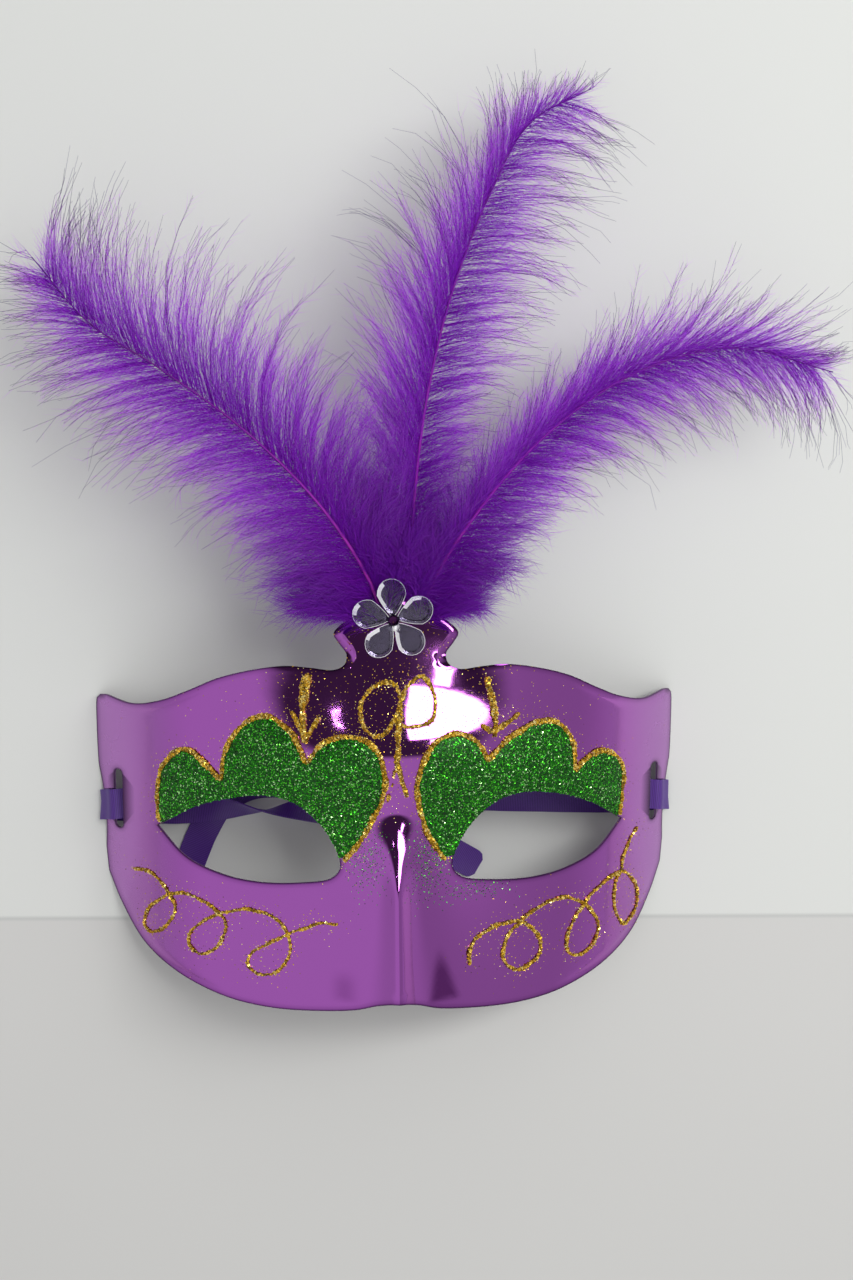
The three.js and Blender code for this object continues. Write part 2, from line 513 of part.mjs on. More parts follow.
// A flat band along its route, level across and then twisted by the angle in each row
function ribbonTie(rows) {
  const knots = rows.map(({ x, y, z }) => new THREE.Vector3(x, y, z));
  const route = new THREE.CatmullRomCurve3(knots, false, 'centripetal');
  const level = new THREE.Vector3(0, 1, 0);
  const spans = rows.length - 1;
  const band = new THREE.BoxGeometry(RIBBON.width, 1, RIBBON.thick, 1, spans * RIBBON.steps, 1);
  return reshaped(band, (corner) => {
    const share = THREE.MathUtils.clamp(corner.y + 0.5, 0, 1);
    const row = Math.min(Math.floor(share * spans), spans - 1);
    const twist = THREE.MathUtils.lerp(rows[row].twist, rows[row + 1].twist, share * spans - row);
    const along = route.getTangent(share);
    const up = along.clone().cross(level).normalize();
    up.applyAxisAngle(along, THREE.MathUtils.degToRad(twist));
    const across = up.clone().cross(along);
    return route.getPoint(share).addScaledVector(across, -corner.x).addScaledVector(up, corner.z);
  });
}

function mesh(name, geometry, finish) {
  const piece = new THREE.Mesh(geometry, new THREE.MeshStandardMaterial(finish));
  piece.name = name;
  return piece;
}

const mask = new THREE.Group();
mask.add(mesh('mask_shell', geometryOf(maskShell()), FINISH.shell));
const sides = [
  { name: 'left', side: -1, outline: OUTLINE_LEFT, scroll: SCROLL_LEFT, mark: MARK_LEFT },
  { name: 'right', side: 1, outline: OUTLINE_RIGHT, scroll: SCROLL_RIGHT, mark: MARK_RIGHT },
];
for (const { name, side, outline, scroll, mark } of sides) {
  const goldBead = (strokes) => geometryOf(beadStrokes(strokes));
  mask.add(mesh(`green_patch_${name}`, geometryOf(greenPatch(outline, side)), FINISH.green));
  mask.add(mesh(`gold_outline_${name}`, goldBead(outline), FINISH.gold));
  mask.add(mesh(`gold_scroll_${name}`, goldBead(scroll), FINISH.gold));
  mask.add(mesh(`gold_mark_${name}`, goldBead(mark), FINISH.gold));
}
mask.add(mesh('gold_bow', geometryOf(beadStrokes(BOW)), FINISH.gold));
mask.add(mesh('flower_gem', flowerGem(), FINISH.gem));
const plumes = { left: FEATHER_LEFT, centre: FEATHER_CENTRE, right: FEATHER_RIGHT };
for (const [name, feather] of Object.entries(plumes)) {
  mask.add(mesh(`feather_${name}`, geometryOf(plume(feather)), FINISH.plume));
}

// The origin is the middle of the mask's underside, without its loose ties
const middle = new THREE.Box3().setFromObject(mask).getCenter(new THREE.Vector3());
mask.add(mesh('ribbon_left', ribbonTie(TIE_LEFT), FINISH.ribbon));
mask.add(mesh('ribbon_right', ribbonTie(TIE_RIGHT), FINISH.ribbon));
mask.position.set(-middle.x, -middle.y, 0);

export default mask;
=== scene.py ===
"""Looks of a plumed carnival half mask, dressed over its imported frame.

The tables are in millimetres in the mask's own axes: X to the viewer's right, Y towards the crest from the
root of the nose, and Z out of the face from the plane of the side rims.
"""
import math

import bpy
import numpy as np
from mathutils import Matrix, Vector
from mathutils.geometry import delaunay_2d_cdt


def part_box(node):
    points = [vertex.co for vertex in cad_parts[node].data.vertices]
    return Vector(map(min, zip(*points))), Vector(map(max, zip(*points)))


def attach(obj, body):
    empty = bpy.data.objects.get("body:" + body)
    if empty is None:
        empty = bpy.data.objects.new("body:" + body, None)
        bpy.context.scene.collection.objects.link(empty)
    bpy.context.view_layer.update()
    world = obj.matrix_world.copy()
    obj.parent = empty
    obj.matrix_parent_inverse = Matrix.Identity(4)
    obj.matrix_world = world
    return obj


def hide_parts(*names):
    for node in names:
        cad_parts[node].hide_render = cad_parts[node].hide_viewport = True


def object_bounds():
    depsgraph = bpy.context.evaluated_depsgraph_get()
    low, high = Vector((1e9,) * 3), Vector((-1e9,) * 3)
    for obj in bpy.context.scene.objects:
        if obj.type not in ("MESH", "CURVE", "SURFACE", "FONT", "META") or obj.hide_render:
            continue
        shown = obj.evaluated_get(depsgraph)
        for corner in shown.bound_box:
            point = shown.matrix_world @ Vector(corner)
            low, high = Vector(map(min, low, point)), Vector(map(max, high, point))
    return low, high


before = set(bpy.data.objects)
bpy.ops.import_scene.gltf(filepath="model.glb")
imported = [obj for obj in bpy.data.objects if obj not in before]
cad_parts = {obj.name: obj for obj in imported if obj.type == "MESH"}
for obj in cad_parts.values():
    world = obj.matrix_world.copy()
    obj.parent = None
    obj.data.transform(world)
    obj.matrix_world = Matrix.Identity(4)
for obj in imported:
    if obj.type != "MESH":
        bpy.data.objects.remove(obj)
cad_low, cad_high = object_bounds()

MM = 0.001
CREST_TOP = 71

# Face: the arc across it, its half width, the crest's lean, the brow, and the root and ridge of the nose
PLAN_RADIUS = 101
RIM = {"half": 87.5, "level": 22, "bend": 10, "taper": 0.0425}
LEAN = {"drop": 4, "from": 18, "run": 48, "half": 55}
BROW = {"rise": 2.5, "half": 37, "level": 28, "tall": 13}
ROOT = {"drop": 4.2, "half": 24, "level": 7.5, "below": 60, "shrink": 25, "turn": 5}
NOSE = {"rise": 9, "top": 22, "top_run": 36, "tip": 8, "tip_run": 56, "width": 5.2, "widen": 8.8}
CREASE = {"least": 0.9, "more": 7, "from": -13, "run": 26}

# Middle of the frame that the tables count from
shell_low, shell_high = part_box("mask_shell")
ORIGIN = np.array(((shell_low.x + shell_high.x) / 2, shell_high.y - CREST_TOP * MM, 0))

# Where the picture is taken from: over the face, a little to the left and towards the crest
VIEW = {"yaw": 4.5, "pitch": 6, "aim": (12, 55, 0), "distance": 600, "lens": 55.74, "sensor": 36,
        "near": 10}

# Right half of the outline, from the crest's peak to the tip, and from the rim to the nose
TOP_EDGE = [
    (9, 68.3), (15, 64.7), (17.7, 61.7), (16.2, 59), (14.1, 56), (14.6, 53.2), (17.5, 51.7), (24, 52.2),
    (31, 52.6), (40, 51.3), (50, 48.5), (59, 44.3), (67, 40.8), (76, 38.8), (84, 40.2),
]
TIP_CORNER = [(85.9, 39.9), (87.1, 38.6), (87.6, 36.8)]
RIM_FOOT = (86, -10)
LOWER_EDGE = [
    (83.5, -16), (80.3, -23), (73.5, -33.5), (63.5, -40.6), (50.5, -45.3), (37.5, -47.2), (24, -47),
    (12, -45.3), (5, -42.6),
]
CHIN_NOTCH = -41.3

# Right eye hole, from its outer corner over the top and back below
EYE = [
    (68.3, 3.6), (57, 10.8), (46, 14.7), (36, 15.9), (29, 14.2), (24, 10.4), (19.5, 5), (16.4, -1.5),
    (16.1, -5.4), (18.6, -8.2), (28, -9.7), (40, -10), (50, -8.5), (60, -4.6),
]

# Tie slot, and the shallow arch in the rim that the ribbon passes under
SLOT = {"x": 80.4, "y": 9.4, "width": 2.6, "height": 18}
ARCH = {"y": 6, "half": 12.5, "rise": 1.9, "slope": 1.72}

# Sheet of the shell, its flange with the step up from it, and the heights and places where that step grows
SHEET = {"wall": 0.55, "cell": 1.35, "dust_cell": 2.4, "rim_points": 46, "least_gap": 0.15, "sharp": 35}
FLANGE = {"width": 1.6, "ramp": 1.2, "crest_step": 1, "side_step": 0.3, "droop": 0.25}
STEP_FROM = {"height": 14, "crest_y": 52, "crest_run": 4, "side_x": 45, "side_run": 15}
EDGE_RINGS = (0.6, 1.6, 2.2, 2.8)
RIDGE = {"columns": (-2.8, -1.9, -1.2, -0.6, 0, 0.6, 1.2, 1.9, 2.8), "low": -42, "high": 14, "step": 0.9}

# Grid of a flat sheet: spacing of its rows, room kept to the edges, and the size of a point
GRID = {"row": 0.866, "clear": 0.5, "kept": 0.95, "point": 1e-5}

# Coating of the shell: painted shade along the cut edges, rubbed sides, and painted dark reflections between
# two levels on both sides of the nose
WEAR_AND_EDGE_SHADE = {"edge": 0.45, "rubbed_x": 58, "rubbed_run": 24}
# Painted dark reflections beside the nose: the band of height they lie in, then the patch on each side
DARK_REFLECTION_BAND = {"top": -26, "top_run": 9, "bottom": -44, "bottom_run": 2}
DARK_REFLECTION_RIGHT = {
    "share": 0.75, "x": 12.5, "slant": 0.1, "slant_y": -34, "half": 4, "taper": 0.25, "taper_y": -36,
    "run": 3,
}
DARK_REFLECTION_LEFT = {"share": 0.3, "x": -15, "half": 5, "run": 5, "top": -33, "top_run": 6}

# Ties: the band, its waves as sizes and lengths, and each route from its glued end, with its twist in degrees
RIBBON = {
    "width": 9, "thick": 0.4, "step": 1, "round": 3, "blunt": 0.55, "cuts": 9, "lift": 0.05, "weave": 10,
    "sharp": 50,
}
SAG = [(0.18, 7), (0.12, 3.1)]
TIE_LEFT = [
    (-70.4, 8.2, 16.3, 0), (-74.2, 8, 12.3, 0), (-76.4, 7.8, 9.4, 0), (-77.8, 7.7, 7.6, 0),
    (-79.2, 7.6, 7.1, 0), (-80.6, 7.5, 7.25, 0), (-82.1, 7.4, 7.45, 0), (-83.3, 7.2, 6.5, 0),
    (-84.1, 7, 5, 0), (-85.1, 6.7, 3.5, 0), (-86, 6.4, 2.15, 0), (-86.2, 6.2, 1.25, 0),
    (-85.5, 6.1, 0.68, 0), (-84, 5.9, 0.6, 0), (-79, 5.4, 0.7, 0), (-72, 4.8, 1.3, 0),
    (-64, 4.6, 2.1, 3), (-55, 4.9, 3, 18), (-45, 5, 5.2, 52), (-35, 4.4, 6.6, 90),
    (-25, 4.4, 5.4, 128), (-15, 3.6, 3.4, 160), (-4, 1.6, 2.2, 178), (8, -3.4, 1.8, 180),
    (19, -9.8, 0.8, 180), (28, -15, 0.6, 180),
]
TIE_RIGHT = [
    (70.4, 8.8, 16.3, 0), (74.2, 8.6, 12.3, 0), (76.4, 8.4, 9.4, 0), (77.8, 8.3, 7.6, 0),
    (79.2, 8.2, 7.1, 0), (80.6, 8.1, 7.25, 0), (82.1, 8, 7.45, 0), (83.3, 7.8, 6.5, 0),
    (84.1, 7.6, 5, 0), (85.1, 7.3, 3.5, 0), (86, 7, 2.15, 0), (86.2, 6.8, 1.25, 0),
    (85.5, 6.7, 0.68, 0), (84, 6.6, 0.6, 0), (77.8, 6.2, 0.6, 0), (70, 5.8, 0.6, 0),
    (58, 6, 0.6, 0), (46, 6.4, 0.6, 0), (34, 6.8, 0.6, 0), (20, 7.6, 0.6, 0),
    (4, 8.6, 0.6, 0), (-12, 10, 0.6, 0), (-28, 11.6, 0.6, 0), (-41, 11.4, 0.6, 0),
    (-50, 6.6, 0.6, 0), (-55.6, -2, 0.6, 0), (-59.4, -11, 0.6, 0), (-63, -20, 0.6, 0),
]

# Gold glue: strokes on the face, each with its half width at its start and end and the points it runs through
OUTLINE_LEFT = [
    (1, 1, [(-67.5, 5), (-68, 13), (-66, 22), (-60, 27.5), (-53.5, 23.5), (-49.4, 19.5)]),
    (1, 1, [(-49.4, 19.5), (-47.5, 29), (-43, 35.5), (-36, 38.5), (-29.5, 34), (-25.4, 26)]),
    (1, 1, [(-25.4, 26), (-20.5, 31.5), (-13.5, 33.5), (-7, 30.8), (-3.8, 24), (-4.4, 15), (-8.5, 6),
            (-14.6, -3)]),
]
OUTLINE_RIGHT = [
    (1, 1, [(67.4, 5), (68.2, 13), (67.5, 20.5), (62, 25.3), (56, 23.8), (52.1, 20.5)]),
    (1, 1, [(52.1, 20.5), (51, 29), (47, 34.8), (41, 35.8), (33, 32.7), (25.4, 26)]),
    (1, 1, [(25.4, 26), (21.5, 32), (16, 33.9), (9.5, 30.5), (6, 23), (6, 14), (9, 4.5), (13.6, -3)]),
]
SCROLL_LEFT = [
    (0.55, 0.5, [(-76, -11), (-70.5, -11.5), (-65, -17), (-63.5, -20), (-64.5, -24), (-68, -28.5), (-71, -30),
                (-73, -28), (-72, -23.5), (-69.5, -20), (-65, -17), (-61.5, -16), (-57, -16.5),
                (-50.5, -20.5), (-48.5, -24), (-49.5, -28), (-52.5, -32), (-56.5, -33.5), (-59.5, -31.5),
                (-59, -27.5), (-55.5, -24), (-50.5, -20.5), (-47, -19.5), (-42.5, -18.5), (-37.5, -19),
                (-33.5, -21), (-31, -25), (-30, -29), (-31.5, -33.5), (-35.5, -37), (-39.5, -37.5),
                (-42.5, -35), (-41.5, -32), (-37, -28.5), (-31, -25), (-26, -23), (-21, -21), (-17, -21.5)]),
]
SCROLL_RIGHT = [
    (0.68, 0.52, [(21, -34), (21, -30), (23, -26.5), (27, -24), (31.5, -23), (36.5, -23), (40, -25.5),
                  (42.5, -30), (41.5, -34.5), (36, -37.5), (32, -35), (31, -30.5), (33, -26), (36.5, -23),
                  (38.5, -21), (43.5, -18.5), (49, -17.5), (53, -18.5), (56.5, -20.5), (60, -25),
                  (61.5, -29.5), (59, -34.5), (55, -36), (51.5, -34.5), (51, -29.5), (53.5, -24.5),
                  (56.5, -20.5), (58.5, -18), (62.5, -15.5), (69, -13), (72.5, -15.5), (75, -20.5),
                  (74.7, -26.5), (71, -30), (68, -26.5), (66.5, -20), (67.5, -15), (69, -13), (69.5, -8.5),
                  (72, -3.5), (74.5, -0.5)]),
]
MARK_LEFT = [
    (1.9, 0.9, [(-24.5, 50.5), (-25.5, 46.5), (-26.3, 38), (-25.5, 31.5)]),
    (0.8, 0.8, [(-29.5, 40), (-27.5, 37), (-25.6, 33.5)]),
    (0.8, 0.8, [(-21.5, 38.5), (-23.5, 35.5), (-25.4, 33)]),
]
MARK_RIGHT = [
    (1.3, 0.9, [(25.4, 49), (27.3, 41), (27.6, 32.5)]),
    (0.8, 0.8, [(23.6, 36), (27.4, 33.8)]),
    (0.8, 0.8, [(34.8, 38.7), (27.8, 34)]),
]
BOW = [
    (0.7, 0.65, [(1, 43), (-0.5, 47.5), (-3, 48.5), (-7, 46.5), (-9.5, 43.5), (-10.5, 39.5), (-9, 35.5),
                 (-6, 33.5), (-3, 35), (0.5, 40.5)]),
    (0.7, 0.65, [(1, 43), (3, 47), (7, 50), (9.5, 47), (10.5, 42), (10, 38.5), (7.5, 36.5), (3.5, 36),
                 (0.5, 37)]),
    (1.25, 0.75, [(0.7, 43), (0, 32), (-0.2, 26.5), (1, 22), (2.5, 16)]),
    (0.55, 0.45, [(-0.9, 24), (-1.1, 22.2)]),
    (0.5, 0.5, [(-1.3, 20.2), (-1.5, 19.2)]),
    (0.7, 0.5, [(-2.4, 16.6), (-2.6, 14.6)]),
]

# Section of a bead, the sizes and lengths of the waves in its width and course, and the green film
BEAD = {
    "step": 0.8, "sides": 8, "slim": 0.72, "flat": 0.85, "sunk": 0.4, "least": 0.3, "blunt": 0.25,
    "under": -0.15,
}
UNEVEN = [(0.16, 1.9), (0.12, 0.83)]
WANDER = [(0.12, 2.3), (0.08, 1.1)]
FILM = {"cell": 1.5, "edge": 0.3, "middle": 0.75, "roll": 1.6, "sunk": 0.2}
GLUE_SHARP = 60

# Glitter flakes: how many to a square metre, their size in metres and their tilt in radians
FLAKES = {
    "gold": {"Density": 5e6, "Size": 0.0008, "Tilt": 1},
    "green": {"Density": 5.5e6, "Size": 0.0006, "Tilt": 0.6},
    "dust": {"Density": 9e6, "Size": 0.0003, "Tilt": 0.7},
}

# Loose flakes: gold beside the strokes and over the brow, green by the nose and below the right eye
DUST_LIFT = 0.06
GOLD_DUST = {"share": 0.16, "fade": 1.4, "brow": 0.03, "brow_half": 42, "brow_y": 24, "brow_run": 12}
GREEN_DUST = [
    {"share": 0.4, "x": -8.5, "half": 4.5, "y": -1, "tall": 8},
    {"share": 0.5, "x": 9.5, "half": 5, "y": -2, "tall": 9},
]
EYE_DUST = {"share": 0.4, "from": 12, "from_run": 6, "to": 38, "to_run": 14, "y": -12.3, "tall": 1.6}

# Clear flower on the crest: five petals round a small hole
FLOWER = {
    "x": -1, "y": 65.6, "turn": 94, "petals": 5, "inner": 1.3, "middle": 7.2, "reach": 11.6, "wide": 4,
    "girdle": 0.9, "table": 2.1, "inset": 0.76, "hole": 1.1, "ring": 1.7, "rise": 1.5, "shoulder": 0.6,
    "foil": 0.15, "foil_inset": 0.93, "seat": 0.05, "seat_inset": 0.95, "pinch": 0.5, "edge": 0.07,
    "edge_sides": 6, "sides": 20,
}

# Drop of glue beside the hole: its place, and its heights with the radius at each
BLOB_AT = (0.8, -2.2, 0)
BLOB = [(0, 1.1), (0.6, 1.05), (1.1, 0.75), (1.35, 0.35)]

# Finishes of the flower in the order of its materials: clear acrylic, silver foil, and white painted as
# glints
CLEAR, SILVER, PAINTED_GLINT = range(3)

# Bevels of each petal painted white as glints of the window, as its first and last of 20 sides counted from
# the outer end
GLINTS = [(2, 7), (18, 21), (13, 16), (12, 16), (3, 7)]

# Plumes: points of the shaft
# Vane and down: place on the shaft, then reach, first and last sweep, left and right of it
# Stray hairs: the stretch of shaft that they grow from, their side of it, their reach, first and last sweep
PLUMES = {
    "feather_left": {
        "shaft": [(-2.5, 57, 44.2), (-6, 73, 43.7), (-20, 96, 45.4), (-41, 117.5, 45), (-64, 134.5, 44),
                  (-84, 147.5, 42), (-99, 165, 40)],
        "vane": [(0.1, 26, 58, 92, 20, 30, 50), (0.3, 30, 52, 88, 38, 34, 84), (0.5, 35, 46, 82, 46, 36, 98),
                 (0.7, 37, 40, 64, 46, 36, 88), (0.86, 34, 34, 50, 36, 38, 70), (1, 20, 24, 44, 22, 30, 60)],
        "down": [(0.05, 26, 60, 84, 28, 24, 44), (0.25, 26, 52, 86, 36, 30, 76),
                 (0.5, 22, 46, 80, 30, 34, 78), (1, 12, 30, 44, 14, 26, 40)],
        "hairs": [(0.72, 1, 0, 28, 32, 60), (0.5, 0.92, 1, 42, 34, 72), (0.4, 0.7, 0, 40, 44, 84)],
    },
    "feather_centre": {
        "shaft": [(1.5, 57, 44.2), (3.5, 73, 42.8), (5.6, 101, 39), (9, 127, 38.5), (16, 156, 38),
                  (27.5, 185, 37), (38, 203, 36.5), (55, 212.5, 36)],
        "vane": [(0.1, 12, 24, 48, 8, 40, 60), (0.3, 38, 26, 52, 20, 60, 84), (0.5, 40, 22, 50, 29, 62, 94),
                 (0.68, 32, 14, 40, 33, 60, 98), (0.86, 28, 18, 44, 32, 54, 94), (1, 20, 24, 44, 18, 30, 64)],
        "down": [(0.08, 23, 26, 60, 8, 40, 60), (0.3, 31, 26, 54, 14, 60, 80), (0.55, 22, 20, 46, 16, 62, 84),
                 (1, 9, 12, 28, 9, 34, 60)],
        "hairs": [(0.4, 0.72, 0, 50, 20, 104), (0.4, 0.9, 1, 38, 58, 96), (0.78, 1, 0, 26, 10, 40)],
    },
    "feather_right": {
        "shaft": [(5.5, 57, 44.2), (9, 73, 43.7), (23, 96, 45.4), (42.5, 117.5, 45), (67, 134, 44),
                  (95, 141, 42), (124, 134.5, 40)],
        "vane": [(0.1, 16, 14, 28, 22, 56, 78), (0.3, 28, 14, 36, 25, 48, 66), (0.5, 33, 14, 38, 29, 40, 92),
                 (0.7, 34, 14, 38, 33, 34, 88), (0.86, 30, 16, 38, 32, 36, 84), (1, 18, 20, 40, 18, 34, 70)],
        "down": [(0.05, 18, 16, 30, 17, 54, 74), (0.25, 19, 18, 40, 20, 48, 66),
                 (0.55, 17, 18, 40, 17, 40, 74), (1, 9, 14, 24, 10, 24, 40)],
        "hairs": [(0.55, 0.98, 1, 38, 30, 76), (0.5, 0.98, 0, 36, 16, 46), (0.3, 0.6, 1, 38, 44, 84)],
    },
}
PLUME_ROOM = (np.array((cad_low, cad_high)) - ORIGIN) / MM
SHAFT = {"root": 0.75, "tip": 0.14, "raised": 0.8, "sides": 8, "pieces": 200, "every": 4, "sharp": 60}

# Kinds of barb on a side: locks, their crowding to the foot, barbs in each, fan at root and tip, thickness
BARBS = {
    "vane": {"locks": 120, "crowd": 1.45, "barbs": 4, "root": 1.3, "tip": 3.5, "thick": 0.08, "down": 0.95},
    "down": {"locks": 90, "crowd": 2.8, "barbs": 6, "root": 2.2, "tip": 4, "thick": 0.06, "down": 0.55},
    "hair": {"locks": 15, "crowd": 1, "barbs": 2, "root": 3.2, "tip": 8, "thick": 0.075, "down": 1.9},
}
TUFTS = {"waves": 14, "swing": 12, "ragged": 0.12, "drift": 1.6, "drift_waves": 23, "last": 0.96}

# How locks differ: steps in a guide line, spread of reach, sweeps and height, arch, and room kept to the box
LOCK = {
    "steps": 8, "short": 0.8, "long": 1.22, "first": 5, "last": 12, "lift": 2.5, "arch": 1.2, "room": 0.97,
    "least": 0.2,
}
STRAND = {"points": 6, "frizz": 9, "depth": 4}
BARBULE = {"gap": 1.1, "length": 7, "thick": 0.06, "lean": 0.7}

# Where down turns to bare tips along the shaft, and where its foot grows fuller barbules and takes a painted
# darker shade
BARE_TIPS = {"more": 0.5, "from": 0.55, "run": 0.45}
FOOT_SHADE_AND_FULLNESS = {"deeper": 0.7, "end": 0.36, "run": 0.3}

# Ground: its half width in metres, and a painted shade line across it, as where a wall behind the mask meets
# a table, with the ground a little darker below it
GROUND = {"half": 1.6, "shade_line_y": -30.5, "shade_line_half": 1, "shade_line_slope": 0.0155}

# Lights: size in metres, power, direction and distance from the brow, and whether the shell mirrors it
LIT_SPOT = (18, 38, 50)
LIGHTS = {
    "window": {
        "size": (0.68, 0.17), "power": 3.4, "toward": (0.46, 0.34, 0.87), "away": 0.9, "mirrored": True,
    },
    "window_side": {
        "size": (0.08, 0.13), "power": 0.46, "toward": (0.29, 0.14, 0.95), "away": 0.9, "mirrored": True,
    },
    "far_window": {
        "size": (0.05, 0.004), "power": 0.03, "toward": (-0.32, 0.33, 0.905), "away": 0.9, "mirrored": True,
    },
    "soft_ceiling": {
        "size": (2.4, 2.4), "power": 11, "toward": (0.1, 0.25, 0.9), "away": 1.6, "mirrored": False,
    },
    "lit_wall": {
        "size": (0.9, 0.9), "power": 8, "toward": (0.75, 0.35, 0.56), "away": 2.5, "mirrored": False,
    },
}

# Kinds of node that come up over and over
MATH = "ShaderNodeMath"
VECTOR = "ShaderNodeVectorMath"
RANGE = "ShaderNodeMapRange"
RAMP = "ShaderNodeValToRGB"
MIX = "ShaderNodeMix"
CARRIED = "ShaderNodeAttribute"
CHANCE = "FunctionNodeRandomValue"
STORED = "GeometryNodeInputNamedAttribute"


def placed(points):
    """Points of the tables as metres in the frame."""
    return np.asarray(points, float) * MM + ORIGIN


def linear(code):
    """Linear light of an sRGB hex colour."""
    shares = [int(code[i:i + 2], 16) / 255 for i in (0, 2, 4)]
    return tuple(c / 12.92 if c <= 0.04045 else ((c + 0.055) / 1.055) ** 2.4 for c in shares) + (1,)


def add(tree, kind, inputs=None, stops=(), **settings):
    """A new node with its settings and colour stops, its inputs set to values or linked from other nodes."""
    node = tree.nodes.new(kind)
    for key, value in settings.items():
        setattr(node, key, value)
    for key, value in (inputs or {}).items():
        if isinstance(value, bpy.types.Node):
            value = next(socket for socket in value.outputs if socket.enabled)
        if isinstance(value, bpy.types.NodeSocket):
            tree.links.new(value, node.inputs[key])
        else:
            node.inputs[key].default_value = value
    if stops:
        band = node.color_ramp.elements
        while len(band) < len(stops):
            band.new(0.5)
        for element, (place, code) in zip(band, stops):
            element.position = place
            element.color = linear(code)
    return node


def material_of(name):
    """An empty material and its node tree."""
    material = bpy.data.materials.new(name)
    material.use_nodes = True
    material.node_tree.nodes.clear()
    return material, material.node_tree


def finish_of(tree, inputs):
    """The surface of a material from the inputs of its shader."""
    shader = add(tree, "ShaderNodeBsdfPrincipled", inputs)
    add(tree, "ShaderNodeOutputMaterial", {"Surface": shader})


def put(name, data):
    """A new object in the scene that holds the data."""
    thing = bpy.data.objects.new(name, data)
    bpy.context.scene.collection.objects.link(thing)
    return thing


def bell(t):
    """A rounded hump that is 1 at 0 and dies away past 1."""
    return np.exp(-t * t)


def smooth(t):
    """A soft step from 0 to 1 as t goes from 0 to 1."""
    t = np.clip(t, 0, 1)
    return t * t * (3 - 2 * t)


def unit(vectors):
    """The vectors at a length of 1."""
    return vectors / np.linalg.norm(vectors, axis=-1, keepdims=True)


def turns(count):
    """Angles spaced evenly round a circle."""
    return np.linspace(0, 2 * math.pi, count, endpoint=False)


def waves(far, rows, phases):
    """Sum of waves along a distance, each with its size, length and phase."""
    return sum(size * np.sin(far / length + phase) for (size, length), phase in zip(rows, phases))


def rim_half_width(y):
    """Half the width of the mask between its side rims."""
    below = RIM["level"] - y
    return RIM["half"] - RIM["taper"] * (below + np.hypot(below, RIM["bend"]))


def face_height(x, y):
    """Height of the face: an arc across it, the crest's lean, the brow, the root and ridge of the nose."""
    rim = rim_half_width(y)
    arc = np.sqrt(PLAN_RADIUS**2 - x**2) - np.sqrt(PLAN_RADIUS**2 - rim**2)
    lean = LEAN["drop"] * smooth((y - LEAN["from"]) / LEAN["run"]) * bell(x / LEAN["half"])
    brow = BROW["rise"] * np.exp(-(x / BROW["half"]) ** 4) * bell((y - BROW["level"]) / BROW["tall"])
    above = y - ROOT["level"]
    recovery = ROOT["below"] - ROOT["shrink"] * (1 + np.tanh(above / ROOT["turn"]))
    root = ROOT["drop"] * bell(x / ROOT["half"]) * bell(above / recovery)
    down = smooth((NOSE["tip"] - y) / NOSE["tip_run"])
    crease = CREASE["least"] + CREASE["more"] * smooth((y - CREASE["from"]) / CREASE["run"])
    ridge = NOSE["rise"] * smooth((NOSE["top"] - y) / NOSE["top_run"]) + NOSE["rise"] * down
    nose = ridge * np.exp((crease - np.hypot(x, crease)) / (NOSE["width"] + NOSE["widen"] * down))
    return arc - lean + brow - root + nose


def off_face(xy, distance):
    """Points at a distance out of the face, and the face's normals there."""
    x, y = xy[:, 0], xy[:, 1]
    reach = 0.05
    slope_x = (face_height(x + reach, y) - face_height(x - reach, y)) / (2 * reach)
    slope_y = (face_height(x, y + reach) - face_height(x, y - reach)) / (2 * reach)
    normal = unit(np.stack((-slope_x, -slope_y, np.ones(len(x))), axis=1))
    foot = np.stack((x, y, face_height(x, y)), axis=1)
    return foot + normal * np.reshape(distance, (-1, 1)), normal


def through(rows, step):
    """A smooth curve through the rows, as points about a step apart. Columns past the third ride along."""
    knots = np.asarray(rows, float)
    chain = np.vstack((2 * knots[0] - knots[1], knots, 2 * knots[-1] - knots[-2]))
    gaps = np.sqrt(np.linalg.norm(np.diff(chain[:, :3], axis=0), axis=1))
    runs = []
    for i in range(1, len(chain) - 2):
        a, b, c, d = chain[i - 1:i + 3]
        before, here, after = gaps[i - 1:i + 2]
        leave = ((b - a) / before - (c - a) / (before + here) + (c - b) / here) * here
        arrive = ((c - b) / here - (d - b) / (here + after) + (d - c) / after) * here
        count = max(1, round(np.linalg.norm((c - b)[:3]) / step))
        t = np.linspace(0, 1, count, endpoint=False)[:, None]
        ends = (2 * t**3 - 3 * t**2 + 1) * b + (3 * t**2 - 2 * t**3) * c
        runs.append(ends + (t**3 - 2 * t**2 + t) * leave + (t**3 - t**2) * arrive)
    return np.vstack(runs + [knots[-1:]])


def headings(points, closed=False):
    """Unit vector along a line of points, at each of them."""
    if closed:
        points = np.vstack((points[-1:], points, points[:1]))
    along = unit(np.gradient(points, axis=0))
    return along[1:-1] if closed else along


def run_of(line):
    """Distance along a line of points, at each of them."""
    return np.concatenate(([0], np.cumsum(np.linalg.norm(np.diff(line, axis=0), axis=1))))


def build(name, points, faces, materials, sharp=None, attributes=None, kinds=None):
    """A mesh object from points in the tables' millimetres, smooth but for edges sharper than an angle."""
    mesh = bpy.data.meshes.new(name)
    mesh.from_pydata(placed(points).tolist(), [], [tuple(map(int, face)) for face in faces])
    for material in materials:
        mesh.materials.append(material)
    for key, values in (attributes or {}).items():
        mesh.attributes.new(key, "FLOAT", "POINT").data.foreach_set("value", np.asarray(values, np.float32))
    if kinds is not None:
        mesh.polygons.foreach_set("material_index", kinds)
    if sharp is not None:
        mesh.shade_smooth()
        mesh.set_sharp_from_angle(angle=math.radians(sharp))
    return put(name, mesh)


def dress(thing, slot, *nodes):
    """The piece rides on the mask and hides the CAD nodes it stands for; the slot is not used."""
    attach(thing, "root")
    if nodes:
        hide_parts(*nodes)
    return thing


